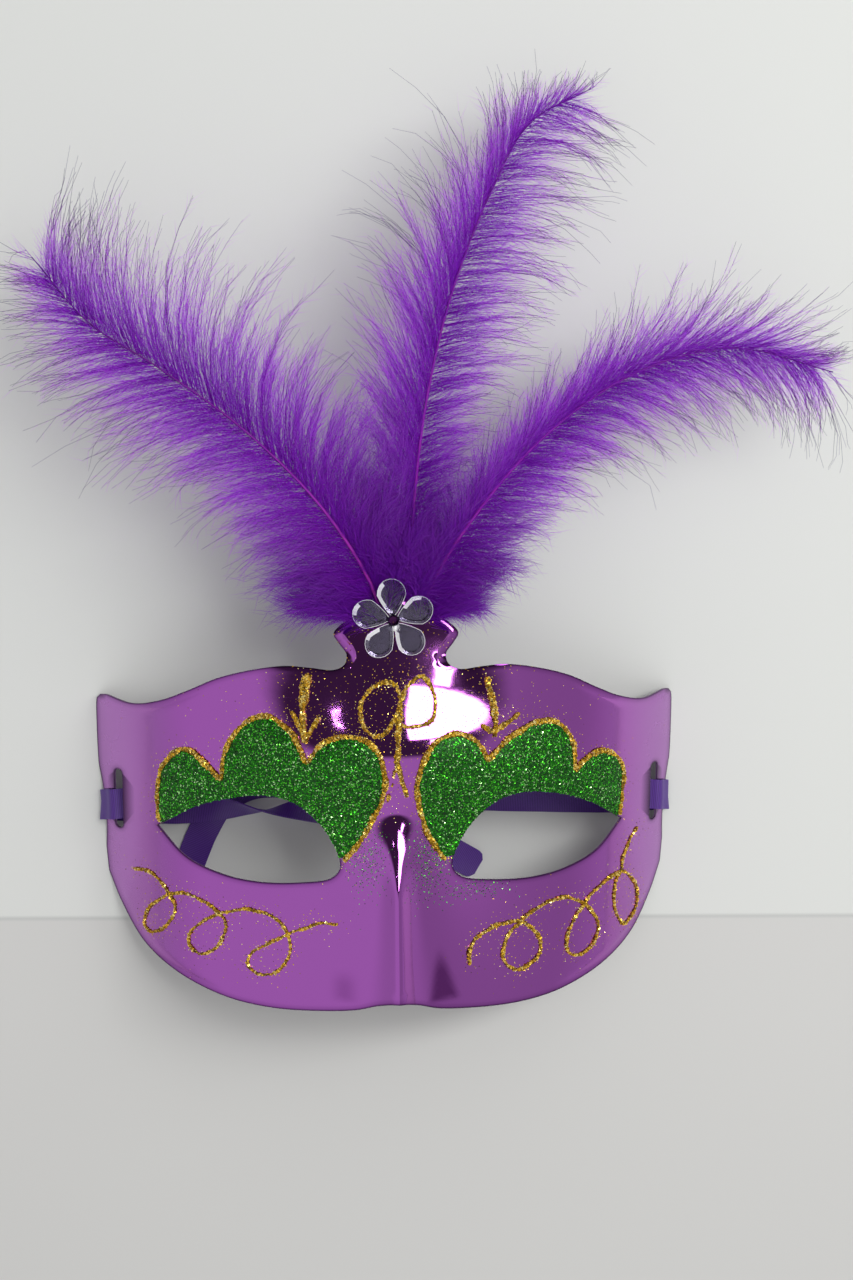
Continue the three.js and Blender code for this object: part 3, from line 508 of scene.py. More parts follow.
def ring_faces(rings, sides):
    """Faces of a closed bar made of rings of corners, with its two ends."""
    faces = []
    for ring in range(rings - 1):
        for k in range(sides):
            a = ring * sides + k
            b = ring * sides + (k + 1) % sides
            faces.append((a, b, b + sides, a + sides))
    last = (rings - 1) * sides
    faces.append(tuple(range(sides - 1, -1, -1)))
    faces.append(tuple(range(last, last + sides)))
    return faces


def looped_faces(rings, sides):
    """Faces of a bar made of rings of corners that runs back into itself."""
    count = rings * sides
    faces = []
    for a in range(count):
        b = a + 1 if (a + 1) % sides else a + 1 - sides
        faces.append((a, (a + sides) % count, (b + sides) % count, b))
    return faces


def joined(parts):
    """Points and faces of several pieces as those of one."""
    points, faces = [], []
    for corners, shapes in parts:
        start = sum(map(len, points))
        points.append(corners)
        faces += [tuple(corner + start for corner in shape) for shape in shapes]
    return np.vstack(points), faces


def make_camera():
    """The photograph's view of the face."""
    yaw, pitch = math.radians(VIEW["yaw"]), math.radians(VIEW["pitch"])
    look = Vector((math.sin(yaw) * math.cos(pitch), -math.sin(pitch), -math.cos(yaw) * math.cos(pitch)))
    right = look.cross(Vector((0, 1, 0))).normalized()
    up = right.cross(look)
    data = bpy.data.cameras.new("picture_camera")
    data.sensor_fit = "VERTICAL"
    data.sensor_width = VIEW["sensor"]
    data.sensor_height = VIEW["sensor"]
    data.lens = VIEW["lens"]
    data.clip_start = VIEW["near"] * MM
    camera = put("picture_camera", data)
    camera.matrix_world = Matrix((right, up, -look)).transposed().to_4x4()
    camera.location = Vector(placed(VIEW["aim"])) - look * VIEW["distance"] * MM
    bpy.context.scene.camera = camera


def satin():
    """Woven satin: cross threads coarse enough to show, a soft sheen and painted shade in the hollows between
    them.
    """
    material, tree = material_of("purple_satin_ribbon")
    weave = add(tree, "ShaderNodeUVMap", uv_map="weave")
    threads = add(tree, "ShaderNodeTexWave", {"Vector": weave, "Scale": 6, "Distortion": 0.6}).outputs["Fac"]
    # Painted shade: darker in the hollows between the threads
    tone = add(tree, RAMP, {"Fac": threads}, stops=[(0, "3C186A"), (1, "562A8C")])
    bump = add(tree, "ShaderNodeBump", {"Height": threads, "Strength": 0.25, "Distance": 0.00008})
    finish_of(tree, {
        "Base Color": tone, "Roughness": 0.45, "Sheen Weight": 0.15, "Sheen Roughness": 0.4,
        "Sheen Tint": linear("8C78D8"), "Anisotropic": 0.5, "Normal": bump,
    })
    return material


def make_tie(name, rows, material):
    """A satin band along its route, laid loose behind the mask."""
    route = through(rows, RIBBON["step"])
    line = route[:, :3]
    along = headings(line)
    level = unit(np.cross(along, (0, 1, 0)))
    turn = np.radians(route[:, 3:4])
    up = level * np.cos(turn) + np.cross(along, level) * np.sin(turn)
    across = np.cross(up, along)
    cuts = np.linspace(-0.5, 0.5, RIBBON["cuts"])
    rim = np.concatenate([[(c, 0.5) for c in cuts], [(c, -0.5) for c in cuts[::-1]]])
    far = run_of(line)
    sag = waves(far, SAG, (0, 1))
    to_end = np.clip((far[-1] - far) / RIBBON["round"], 0, 1)
    rounded = np.sqrt(1 - (1 - to_end) ** 2)
    span = RIBBON["width"] * (RIBBON["blunt"] + (1 - RIBBON["blunt"]) * rounded)
    points = []
    for width, lift in rim:
        cup = sag * np.cos(width * math.pi)
        points.append(line + across * (width * span)[:, None] + up * (lift * RIBBON["thick"] + cup)[:, None])
    points = np.stack(points, axis=1)
    points[..., 2] = np.maximum(points[..., 2], RIBBON["lift"])
    sides = len(rim)
    faces = ring_faces(len(line), sides)
    tie = build(name + "_band", points.reshape(-1, 3), faces, [material], RIBBON["sharp"])
    weave = tie.data.uv_layers.new(name="weave")
    corners = np.empty(len(tie.data.loops), dtype=np.int32)
    tie.data.loops.foreach_get("vertex_index", corners)
    spots = np.stack((far[corners // sides] / RIBBON["weave"], rim[corners % sides, 0]), axis=1)
    weave.data.foreach_set("uv", spots.astype(np.float32).ravel())
    dress(tie, "satin_ribbon", name)


make_camera()
SATIN = satin()
make_tie("ribbon_left", TIE_LEFT, SATIN)
make_tie("ribbon_right", TIE_RIGHT, SATIN)


def inside(points, loop):
    """Which points lie within a closed line."""
    x, y = points[:, :1], points[:, 1:]
    a, b = loop, np.roll(loop, -1, axis=0)
    spans = (a[:, 1] > y) != (b[:, 1] > y)
    rise = np.where(b[:, 1] == a[:, 1], 1, b[:, 1] - a[:, 1])
    cross = x < (b[:, 0] - a[:, 0]) * (y - a[:, 1]) / rise + a[:, 0]
    return np.sum(spans & cross, axis=1) % 2 == 1


def distance_to(points, line, closed=True):
    """Distance of each point from a line of points."""
    a = line if closed else line[:-1]
    b = np.roll(line, -1, axis=0) if closed else line[1:]
    run = b - a
    reach = points[:, None, :] - a
    share = np.clip(np.sum(reach * run, axis=2) / np.maximum(np.sum(run * run, axis=1), 1e-9), 0, 1)
    return np.linalg.norm(reach - share[..., None] * run, axis=2).min(axis=1)


def within(points, loops, least):
    """The points that lie in the sheet, at least a distance from its edges."""
    for n, loop in enumerate(loops):
        points = points[inside(points, loop) == (n == 0)]
        points = points[distance_to(points, loop) > least]
    return points


def beside(loop, distance):
    """Points at a distance on both sides of a closed line."""
    along = headings(loop, closed=True)
    off = np.stack((-along[:, 1], along[:, 0]), axis=1) * distance
    return np.vstack((loop + off, loop - off))


def cut_sheet(loops, cell, rings=(), fold=None):
    """Flat triangles within the first loop and outside the others: points, corners and border edges."""
    low, high = loops[0].min(axis=0), loops[0].max(axis=0)
    columns = np.arange(low[0], high[0], cell)
    rows = np.arange(low[1], high[1], cell * GRID["row"])
    x, y = np.meshgrid(columns, rows)
    x = x + cell / 2 * (np.arange(len(rows)) % 2)[:, None]
    grid = np.stack((x.ravel(), y.ravel()), axis=1)
    if fold is not None:
        near = (np.abs(grid[:, 0]) < np.abs(fold[:, 0]).max() + cell / 2) & (grid[:, 1] < fold[:, 1].max())
        grid = np.vstack((grid[~near], fold))
    grid = within(grid, loops, max(rings, default=0) + cell * GRID["clear"])
    for ring in rings:
        band = np.vstack([beside(loop, ring) for loop in loops])
        grid = np.vstack((grid, within(band, loops, ring * GRID["kept"])))
    edges = []
    start = 0
    for loop in loops:
        count = len(loop)
        edges += [(start + i, start + (i + 1) % count) for i in range(count)]
        start += count
    flat = [Vector(point) for point in np.vstack(loops + [grid])]
    points, _, faces, *_ = delaunay_2d_cdt(flat, edges, [], 0, GRID["point"])
    points = np.array([(p.x, p.y) for p in points])
    faces = np.array([face for face in faces if len(face) == 3])
    middle = points[faces].mean(axis=1)
    keep = inside(middle, loops[0])
    for hole in loops[1:]:
        keep &= ~inside(middle, hole)
    faces = faces[keep]
    one, two = points[faces[:, 1]] - points[faces[:, 0]], points[faces[:, 2]] - points[faces[:, 0]]
    flip = one[:, 0] * two[:, 1] - one[:, 1] * two[:, 0] < 0
    faces[flip] = faces[flip][:, ::-1]
    used = np.unique(faces)
    number = np.full(len(points), -1)
    number[used] = np.arange(len(used))
    faces = number[faces]
    drawn = {(face[i], face[(i + 1) % 3]) for face in faces.tolist() for i in range(3)}
    border = sorted(edge for edge in drawn if edge[::-1] not in drawn)
    return points[used], faces, border


def walled(top, bottom, faces, border):
    """Points and faces of a closed sheet from its top and bottom corners."""
    count = len(top)
    shapes = [tuple(face) for face in faces.tolist()]
    shapes += [tuple(count + corner for corner in face[::-1]) for face in faces.tolist()]
    shapes += [(b, a, a + count, b + count) for a, b in border]
    return np.vstack((top, bottom)), shapes


def mirrored(rows):
    """Points of the other half, in the order that leads on from them."""
    return [(-x, y) for x, y in reversed(rows)]


def rim_line(y):
    """Half the width at the cut rims, drawn in where the ribbon passes under."""
    arch = ARCH["rise"] * np.maximum(0, 1 - ((y - ARCH["y"]) / ARCH["half"]) ** 2)
    return rim_half_width(y) - arch / ARCH["slope"]


def shell_outline():
    """Cut edge of the shell, anticlockwise from the right foot of the rim."""
    top = through(mirrored(TOP_EDGE) + [(0, CREST_TOP)] + TOP_EDGE, 1)[::-1]
    lower = [RIM_FOOT] + LOWER_EDGE
    low = through([(-x, y) for x, y in lower] + [(0, CHIN_NOTCH)] + lower[::-1], 1)
    side = np.linspace(RIM_FOOT[1], TIP_CORNER[-1][1], SHEET["rim_points"])[1:-1]
    right = np.stack((rim_line(side), side), axis=1)
    left = np.stack((-rim_line(side), side), axis=1)[::-1]
    corner = np.array(TIP_CORNER)
    loop = np.vstack((right, corner[::-1], top, corner * (-1, 1), left, low))
    limit = rim_line(loop[:, 1])
    loop[:, 0] = np.clip(loop[:, 0], -limit, limit)
    gap = np.linalg.norm(loop - np.roll(loop, 1, axis=0), axis=1)
    return loop[gap > SHEET["least_gap"]]


def eye_outline(side):
    """Cut edge of an eye hole."""
    loop = through(EYE + [EYE[0]], 1)[:-1]
    return loop * (side, 1)


def slot_outline(side):
    """Cut edge of a tie slot, with its round ends."""
    half, tall = SLOT["width"] / 2, SLOT["height"] / 2
    turn = np.linspace(0, math.pi, 7)
    cap = np.stack((half * np.cos(turn), tall - half + half * np.sin(turn)), axis=1)
    return np.vstack((cap, -cap)) + (side * SLOT["x"], SLOT["y"])


def metallised():
    """Vacuum-metallised sheet: a dark mirror with a purple tint, rubbed dull in places and grey inside, with
    painted shade along its cut edges and painted dark reflections beside the nose.
    """
    material, tree = material_of("metallised_purple_sheet")
    back, edge, rubbed, dark_reflection = (
        add(tree, CARRIED, attribute_name=name).outputs["Fac"]
        for name in ("inside", "edge", "rubbed", "dark_reflection")
    )
    spot = add(tree, "ShaderNodeTexCoord").outputs["Object"]
    smudge = add(tree, "ShaderNodeTexNoise", {"Vector": spot, "Scale": 45, "Detail": 5, "Roughness": 0.6})
    lines = add(tree, "ShaderNodeMapping", {
        "Vector": spot, "Rotation": (0, 0, 0.6), "Scale": (60, 2400, 60),
    })
    scratch = add(tree, "ShaderNodeTexNoise", {"Vector": lines, "Scale": 1, "Detail": 2})
    ripple = add(tree, "ShaderNodeTexNoise", {"Vector": spot, "Scale": 160, "Detail": 2, "Roughness": 0.4})
    colour = add(tree, RAMP, {"Fac": rubbed}, stops=[(0, "B264C0"), (1, "BE80CC")])
    # Painted dark reflections beside the nose, painted shade along the cut edges, then the grey inside
    for share, code in ((dark_reflection, "5A1C64"), (edge, "3A1048"), (back, "6A5A70")):
        colour = add(tree, MIX, {"Factor": share, "A": colour, "B": linear(code)},
                     data_type="RGBA")
    worn = add(tree, RANGE, {
        "Value": smudge, "From Min": 0.35, "From Max": 0.75, "To Min": 0.04, "To Max": 0.12,
    })
    lined = add(tree, RANGE, {
        "Value": scratch, "From Min": 0.66, "From Max": 0.8, "To Min": 0.0, "To Max": 0.1,
    })
    rough = add(tree, MATH, {0: worn, 1: lined})
    duller = add(tree, MATH, {0: rubbed, 1: 0.2, 2: rough}, operation="MULTIPLY_ADD")
    dull = add(tree, MIX, {"Factor": back, "A": duller, "B": 0.55})
    shine = add(tree, RANGE, {"Value": back, "To Min": 1.0, "To Max": 0.35})
    bump = add(tree, "ShaderNodeBump", {"Height": ripple, "Strength": 0.12, "Distance": 0.0002})
    finish_of(tree, {"Base Color": colour, "Metallic": shine, "Roughness": dull, "Normal": bump})
    return material


def dark_reflection_share(points):
    """Share of the painted dark reflection beside the nose, more on the right."""
    x, y = points[:, 0], points[:, 1]
    low = smooth((DARK_REFLECTION_BAND["top"] - y) / DARK_REFLECTION_BAND["top_run"])
    low = low * smooth((y - DARK_REFLECTION_BAND["bottom"]) / DARK_REFLECTION_BAND["bottom_run"])
    one, other = DARK_REFLECTION_RIGHT, DARK_REFLECTION_LEFT
    half = one["half"] - one["taper"] * (y - one["taper_y"])
    right = smooth((half - np.abs(x - one["x"] + one["slant"] * (y - one["slant_y"]))) / one["run"])
    left = smooth((other["half"] - np.abs(x - other["x"])) / other["run"])
    left = left * smooth((other["top"] - y) / other["top_run"])
    return low * (one["share"] * right + other["share"] * left)


def shell_loops():
    """Cut edges of the shell: its outline, then the eye holes and the tie slots."""
    return [shell_outline()] + [hole(side) for hole in (eye_outline, slot_outline) for side in (1, -1)]


def make_shell(material):
    """The formed sheet with its flange, eye holes and tie slots."""
    loops = shell_loops()
    columns, rows = np.meshgrid(RIDGE["columns"], np.arange(RIDGE["low"], RIDGE["high"], RIDGE["step"]))
    ridge = np.stack((columns.ravel(), rows.ravel()), axis=1)
    flat, faces, border = cut_sheet(loops, SHEET["cell"], EDGE_RINGS, ridge)
    from_cuts = [distance_to(flat, loop) for loop in loops]
    from_edge = from_cuts[0]
    crest = smooth((flat[:, 1] - STEP_FROM["crest_y"]) / STEP_FROM["crest_run"])
    side = smooth((np.abs(flat[:, 0]) - STEP_FROM["side_x"]) / STEP_FROM["side_run"])
    off_floor = smooth(face_height(flat[:, 0], flat[:, 1]) / STEP_FROM["height"])
    step = off_floor * (FLANGE["crest_step"] * crest + FLANGE["side_step"] * side)
    sunk = step * (1 - smooth((from_edge - FLANGE["width"]) / FLANGE["ramp"]))
    sunk += FLANGE["droop"] * crest * np.clip(1 - from_edge / FLANGE["width"], 0, 1)
    top, normal = off_face(flat, -sunk)
    bottom = top - normal * SHEET["wall"]
    for face in (top, bottom):
        face[:, 2] = np.maximum(face[:, 2], 0)
    points, shapes = walled(top, bottom, faces, border)
    back = np.repeat((0, 1), len(flat))
    # Painted shade: darker within about half a millimetre of every cut edge
    edge = np.concatenate((np.exp(-np.min(from_cuts, axis=0) / WEAR_AND_EDGE_SHADE["edge"]), np.zeros(len(flat))))
    rubbed = smooth((np.abs(points[:, 0]) - WEAR_AND_EDGE_SHADE["rubbed_x"]) / WEAR_AND_EDGE_SHADE["rubbed_run"])
    # Attributes: the grey inside, painted shade at the cut edges, the rubbed sides, and the painted dark
    # reflection beside the nose
    shell = build("formed_shell", points, shapes, [material], SHEET["sharp"],
                  {"inside": back, "edge": edge, "rubbed": rubbed, "dark_reflection": dark_reflection_share(points)})
    return dress(shell, "metallised_plastic", "mask_shell")


make_shell(metallised())


def grown(thing, tree, settings):
    """The plain mesh that a tree of nodes makes from an object, with the tree's named inputs set."""
    nodes = thing.modifiers.new("grow", "NODES")
    nodes.node_group = tree
    for item in tree.interface.items_tree:
        if item.in_out == "INPUT" and item.name in settings:
            nodes[item.identifier] = settings[item.name]
    ready = thing.evaluated_get(bpy.context.evaluated_depsgraph_get())
    mesh = bpy.data.meshes.new_from_object(ready)
    thing.modifiers.remove(nodes)
    old = thing.data
    thing.data = mesh
    bpy.data.meshes.remove(old)
    mesh.name = thing.name
    return thing


def tree_with(name, sockets):
    """An empty tree of geometry nodes with its named inputs, and those inputs' sockets."""
    tree = bpy.data.node_groups.new(name, "GeometryNodeTree")
    tree.interface.new_socket("Geometry", in_out="INPUT", socket_type="NodeSocketGeometry")
    for label, kind in sockets:
        tree.interface.new_socket(label, in_out="INPUT", socket_type="NodeSocket" + kind)
    tree.interface.new_socket("Geometry", in_out="OUTPUT", socket_type="NodeSocketGeometry")
    return tree, add(tree, "NodeGroupInput").outputs


def ended(tree, *parts):
    """The tree with its parts joined in its output."""
    whole = add(tree, "GeometryNodeJoinGeometry")
    for part in parts:
        tree.links.new(part.outputs[0], whole.inputs[0])
    add(tree, "NodeGroupOutput", {0: whole})
    return tree


def glitter_tree():
    """Scatters tilted four-sided flakes over a mesh where its share attribute allows them."""
    tree, given = tree_with("glitter_flakes", [
        ("Density", "Float"), ("Size", "Float"), ("Tilt", "Float"), ("Keep Base", "Bool"), ("Seed", "Int"),
        ("Flake", "Material"),
    ])
    share = add(tree, STORED, {"Name": "share"})
    density = add(tree, MATH, {0: share, 1: given["Density"]}, operation="MULTIPLY")
    spots = add(tree, "GeometryNodeDistributePointsOnFaces", {
        "Mesh": given["Geometry"], "Density": density, "Seed": given["Seed"],
    }).outputs
    low_tilt = add(tree, MATH, {0: math.pi, 1: given["Tilt"]}, operation="SUBTRACT")
    high_tilt = add(tree, MATH, {0: math.pi, 1: given["Tilt"]}, operation="ADD")
    least = add(tree, "ShaderNodeCombineXYZ", {"X": low_tilt, "Z": 0.0})
    most = add(tree, "ShaderNodeCombineXYZ", {"X": high_tilt, "Z": 2 * math.pi})
    lean = add(tree, CHANCE, {0: least, 1: most, "Seed": given["Seed"]}, data_type="FLOAT_VECTOR")
    tipped = add(tree, "FunctionNodeEulerToRotation", {"Euler": lean})
    spin = add(tree, CHANCE, {2: 0.0, 3: 2 * math.pi, "Seed": 5})
    about = add(tree, "FunctionNodeAxisAngleToRotation", {"Axis": (0, 0, 1), "Angle": spin})
    facing = spots["Rotation"]
    for turn in (about, tipped):
        facing = add(tree, "FunctionNodeRotateRotation", {"Rotation": facing, "Rotate By": turn},
                     rotation_space="LOCAL")
    flake = add(tree, "GeometryNodeMeshCone", {
        "Vertices": 4, "Radius Top": 0.0, "Radius Bottom": 0.5, "Depth": 0.3,
    })
    size = add(tree, CHANCE, {2: 0.7, 3: 1.3, "Seed": 3})
    scale = add(tree, MATH, {0: size, 1: given["Size"]}, operation="MULTIPLY")
    strewn = add(tree, "GeometryNodeInstanceOnPoints", {
        "Points": spots["Points"], "Instance": flake, "Rotation": facing, "Scale": scale,
    })
    tone = add(tree, CHANCE, {2: 0.0, 3: 1.0, "Seed": 9})
    toned = add(tree, "GeometryNodeStoreNamedAttribute", {"Geometry": strewn, "Name": "tone", "Value": tone},
                domain="INSTANCE")
    plain = add(tree, "GeometryNodeRealizeInstances", {"Geometry": toned})
    shiny = add(tree, "GeometryNodeSetMaterial", {"Geometry": plain, "Material": given["Flake"]})
    base = add(tree, "GeometryNodeSwitch", {"Switch": given["Keep Base"], "True": given["Geometry"]},
               input_type="GEOMETRY")
    return ended(tree, base, shiny)


def barb_tree():
    """Splits the guide line of each lock into fine barbs that gather towards its tip, with downy barbules."""
    tree, given = tree_with("barbs_of_a_plume", [
        ("Points", "Int"), ("Frizz", "Float"), ("Depth", "Float"), ("Seed", "Int"), ("Gap", "Float"),
        ("Length", "Float"), ("Thickness", "Float"), ("Lean", "Float"), ("Barb", "Material"),
        ("Down", "Material"),
    ])
    stored = {
        key: add(tree, STORED, {"Name": key}, data_type="FLOAT")
        for key in ("barbs", "root", "tip", "thick", "far", "foot", "reach")
    }
    along = add(tree, STORED, {"Name": "along"}, data_type="FLOAT_VECTOR")
    guides = add(tree, "GeometryNodeMeshToCurve", {"Mesh": given["Geometry"]})
    fine = add(tree, "GeometryNodeResampleCurve", {"Curve": guides, "Count": given["Points"]})
    many = add(tree, "GeometryNodeDuplicateElements", {"Geometry": fine, "Amount": stored["barbs"]},
               domain="SPLINE")
    share = add(tree, "GeometryNodeSplineParameter")
    spread = add(tree, CHANCE, {0: (-1, -1, -1), 1: (1, 1, 1), "Seed": given["Seed"]},
                 data_type="FLOAT_VECTOR")
    own = add(tree, "GeometryNodeFieldOnDomain", {"Value": spread}, domain="CURVE", data_type="FLOAT_VECTOR")
    each = add(tree, "ShaderNodeSeparateXYZ", {0: own}).outputs

    # Each barb starts and ends a little before or behind its guide, above or below it, and frizzes
    rest = add(tree, MATH, {0: 1.0, 1: share}, operation="SUBTRACT")
    square = add(tree, MATH, {0: share, 1: share}, operation="MULTIPLY")
    fans = []
    for part, key, fade in ((each[0], "root", rest), (each[1], "tip", square)):
        offset = add(tree, MATH, {0: part, 1: stored[key]}, operation="MULTIPLY")
        fans.append(add(tree, MATH, {0: offset, 1: fade}, operation="MULTIPLY"))
    ahead = add(tree, MATH, {0: fans[0], 1: fans[1]}, operation="ADD")
    fan = add(tree, VECTOR, {0: along, "Scale": ahead}, operation="SCALE")
    depth = add(tree, MATH, {0: each[2], 1: given["Depth"]}, operation="MULTIPLY")
    raised = add(tree, MATH, {0: depth, 1: share}, operation="MULTIPLY")
    height = add(tree, "ShaderNodeCombineXYZ", {"Z": raised})
    aside = add(tree, VECTOR, {0: own, "Scale": 0.4}, operation="SCALE")
    where = add(tree, "GeometryNodeInputPosition")
    apart = add(tree, VECTOR, {0: where, 1: aside}, operation="ADD")
    noise = add(tree, "ShaderNodeTexNoise", {"Vector": apart, "Scale": 90.0, "Detail": 1.0}).outputs["Color"]
    stray = add(tree, VECTOR, {0: noise, 1: (0.5, 0.5, 0.5)}, operation="SUBTRACT")
    curl = add(tree, MATH, {0: given["Frizz"], 1: share}, operation="MULTIPLY")
    frizz = add(tree, VECTOR, {0: stray, "Scale": curl}, operation="SCALE")
    level = add(tree, VECTOR, {0: fan, 1: height}, operation="ADD")
    shift = add(tree, VECTOR, {0: level, 1: frizz}, operation="ADD")
    moved = add(tree, "GeometryNodeSetPosition", {"Geometry": many, "Offset": shift})

    # Each barb keeps how far along it a point lies and a tone of its own, and ends at its own length
    reach = add(tree, MATH, {0: share, 1: stored["far"]}, operation="MULTIPLY")
    marked = add(tree, "GeometryNodeStoreNamedAttribute", {
        "Geometry": moved, "Name": "reach", "Value": reach,
    })
    tone = add(tree, CHANCE, {2: 0.0, 3: 1.0, "Seed": 7})
    toned = add(tree, "GeometryNodeStoreNamedAttribute", {"Geometry": marked, "Name": "tone", "Value": tone},
                domain="CURVE")
    end = add(tree, CHANCE, {2: 0.62, 3: 1.0, "Seed": 11})
    trimmed = add(tree, "GeometryNodeTrimCurve", {"Curve": toned, 3: end})
    loss = add(tree, MATH, {0: share, 1: 0.7}, operation="MULTIPLY")
    taper = add(tree, MATH, {0: 1.15, 1: loss}, operation="SUBTRACT")
    thick = add(tree, MATH, {0: taper, 1: stored["thick"]}, operation="MULTIPLY")
    ring = add(tree, "GeometryNodeCurvePrimitiveCircle", {"Resolution": 3, "Radius": 1.0})
    lines = add(tree, "GeometryNodeCurveToMesh", {
        "Curve": trimmed, "Profile Curve": ring, "Scale": thick, "Fill Caps": True,
    })
    rounded = add(tree, "GeometryNodeSetShadeSmooth", {"Geometry": lines})
    barbs = add(tree, "GeometryNodeSetMaterial", {"Geometry": rounded, "Material": given["Barb"]})

    # Barbules stand round each barb, leaning towards its tip, fewer and shorter out there
    seats = add(tree, "GeometryNodeCurveToPoints", {"Curve": trimmed, "Length": given["Gap"]},
                mode="LENGTH").outputs
    facing = add(tree, "FunctionNodeAlignRotationToVector", {"Vector": seats["Tangent"]})
    around = add(tree, CHANCE, {2: 0.0, 3: 6.28, "Seed": 13})
    uneven = add(tree, CHANCE, {2: 0.5, 3: 1.2, "Seed": 17})
    lean = add(tree, MATH, {0: given["Lean"], 1: uneven}, operation="MULTIPLY")
    for axis, angle in (((0, 0, 1), around), ((1, 0, 0), lean)):
        turn = add(tree, "FunctionNodeAxisAngleToRotation", {"Axis": axis, "Angle": angle})
        facing = add(tree, "FunctionNodeRotateRotation", {0: facing, 1: turn}, rotation_space="LOCAL")
    spike = add(tree, "GeometryNodeMeshCone", {
        "Vertices": 3, "Radius Top": 0.0, "Radius Bottom": given["Thickness"], "Depth": given["Length"],
    })
    bare_from = add(tree, CHANCE, {2: 0.4, 3: 1.1, "Seed": 19})
    downy = add(tree, "FunctionNodeCompare", {0: stored["reach"], 1: bare_from}, operation="LESS_THAN")
    less = add(tree, MATH, {0: stored["reach"], 1: 0.4}, operation="MULTIPLY")
    shorter = add(tree, MATH, {0: 1.1, 1: less}, operation="SUBTRACT")
    more = add(tree, MATH, {0: stored["foot"], 1: 0.3}, operation="MULTIPLY")
    fuller = add(tree, MATH, {0: shorter, 1: more}, operation="ADD")
    varied = add(tree, CHANCE, {2: 0.45, 3: 1.15, "Seed": 23})
    size = add(tree, MATH, {0: varied, 1: fuller}, operation="MULTIPLY")
    barbules = add(tree, "GeometryNodeInstanceOnPoints", {
        "Points": seats["Points"], "Selection": downy, "Instance": spike, "Rotation": facing, "Scale": size,
    })
    plain = add(tree, "GeometryNodeRealizeInstances", {"Geometry": barbules})
    down = add(tree, "GeometryNodeSetMaterial", {"Geometry": plain, "Material": given["Down"]})
    return ended(tree, barbs, down)


def glue(name, dark, light):
    """Tinted glitter glue between the flakes: a dull film, mottled at about half a millimetre."""
    material, tree = material_of(name)
    spot = add(tree, "ShaderNodeTexCoord").outputs["Object"]
    grain = add(tree, "ShaderNodeTexVoronoi", {"Vector": spot, "Scale": 2200}).outputs["Color"]
    shade = add(tree, "ShaderNodeSeparateXYZ", {0: grain})
    tone = add(tree, RAMP, {"Fac": shade}, stops=[(0, dark), (1, light)])
    finish_of(tree, {"Base Color": tone, "Metallic": 0.5, "Roughness": 0.45})
    return material


def flakes(name, metal, stops):
    """Metallic glitter: each flake a small mirror of its own tone."""
    material, tree = material_of(name)
    tone = add(tree, CARRIED, attribute_name="tone").outputs["Fac"]
    colour = add(tree, RAMP, {"Fac": tone}, stops=stops)
    finish_of(tree, {"Base Color": colour, "Metallic": metal, "Roughness": 0.2})
    return material


def bead(start, end, rows, chance):
    """Points, faces and upper side of a hand-squeezed bead of glue along a stroke on the face."""
    line = through(rows, BEAD["step"])
    count = len(line)
    number = np.arange(count)
    far = number * BEAD["step"]
    phase = chance.uniform(0, 2 * math.pi, 4)
    half = start + (end - start) * np.linspace(0, 1, count)
    half = half * (1 + waves(far, UNEVEN, phase[:2])) * BEAD["slim"]
    from_end = np.minimum(number, number[::-1]) * BEAD["step"] / np.maximum(half, BEAD["least"])
    half *= np.sqrt(np.clip(1 - (1 - np.clip(from_end + BEAD["blunt"], 0, 1)) ** 2, 0, 1))
    flat_along = headings(line)
    aside = np.stack((-flat_along[:, 1], flat_along[:, 0]), axis=1)
    line = line + aside * waves(far, WANDER, phase[2:])[:, None]
    middle, normal = off_face(line, half * BEAD["sunk"])
    across = unit(np.cross(headings(middle), normal))
    turn = turns(BEAD["sides"])
    wide = half[:, None, None] * np.cos(turn)[:, None] * across[:, None, :]
    tall = half[:, None, None] * BEAD["flat"] * np.sin(turn)[:, None] * normal[:, None, :]
    points = middle[:, None, :] + wide + tall
    share = np.tile(np.sin(turn) > BEAD["under"], count)
    faces = [face[::-1] for face in ring_faces(count, BEAD["sides"])]
    return points.reshape(-1, 3), faces, share


def make_gold(name, strokes, seed, base, shiny, tree):
    """One piece of the gold ornament: its beads of glue, thick with flakes on their upper side."""
    chance = np.random.default_rng(seed)
    beads = [bead(start, end, rows, chance) for start, end, rows in strokes]
    points, faces = joined((corners, shapes) for corners, shapes, _ in beads)
    share = np.concatenate([upper for _, _, upper in beads])
    gold = build(name + "_bead", points, faces, [base, shiny], GLUE_SHARP, {"share": share})
    grown(gold, tree, {**FLAKES["gold"], "Keep Base": True, "Seed": seed, "Flake": shiny})
    return dress(gold, "gold_glitter", name)


def make_green(name, strokes, side, seed, base, shiny, tree):
    """A film of green glitter from the gold outline down to the eye hole."""
    border = np.vstack([through(rows, 1)[:-1] for _, _, rows in strokes])
    eye = eye_outline(side)
    flat, faces, edges = cut_sheet([border, eye], FILM["cell"])
    from_rim = np.minimum(distance_to(flat, border), distance_to(flat, eye))
    thick = FILM["edge"] + (FILM["middle"] - FILM["edge"]) * smooth(from_rim / FILM["roll"])
    top, _ = off_face(flat, thick)
    bottom, _ = off_face(flat, np.full(len(flat), -FILM["sunk"]))
    points, shapes = walled(top, bottom, faces, edges)
    share = np.repeat((1, 0), len(flat))
    film = build(name + "_film", points, shapes, [base, shiny], GLUE_SHARP, {"share": share})
    grown(film, tree, {**FLAKES["green"], "Keep Base": True, "Seed": seed, "Flake": shiny})
    return dress(film, "green_glitter", name)


def make_dust(name, slot, share_at, seed, shiny, tree):
    """Loose flakes strewn over the shell, as thick as a function of the place says."""
    flat, faces, _ = cut_sheet(shell_loops(), SHEET["dust_cell"])
    top, _ = off_face(flat, np.full(len(flat), DUST_LIFT))
    dust = build(name, top, faces.tolist(), [shiny], None, {"share": share_at(flat)})
    grown(dust, tree, {**FLAKES["dust"], "Keep Base": False, "Seed": seed, "Flake": shiny})
    return dress(dust, slot)


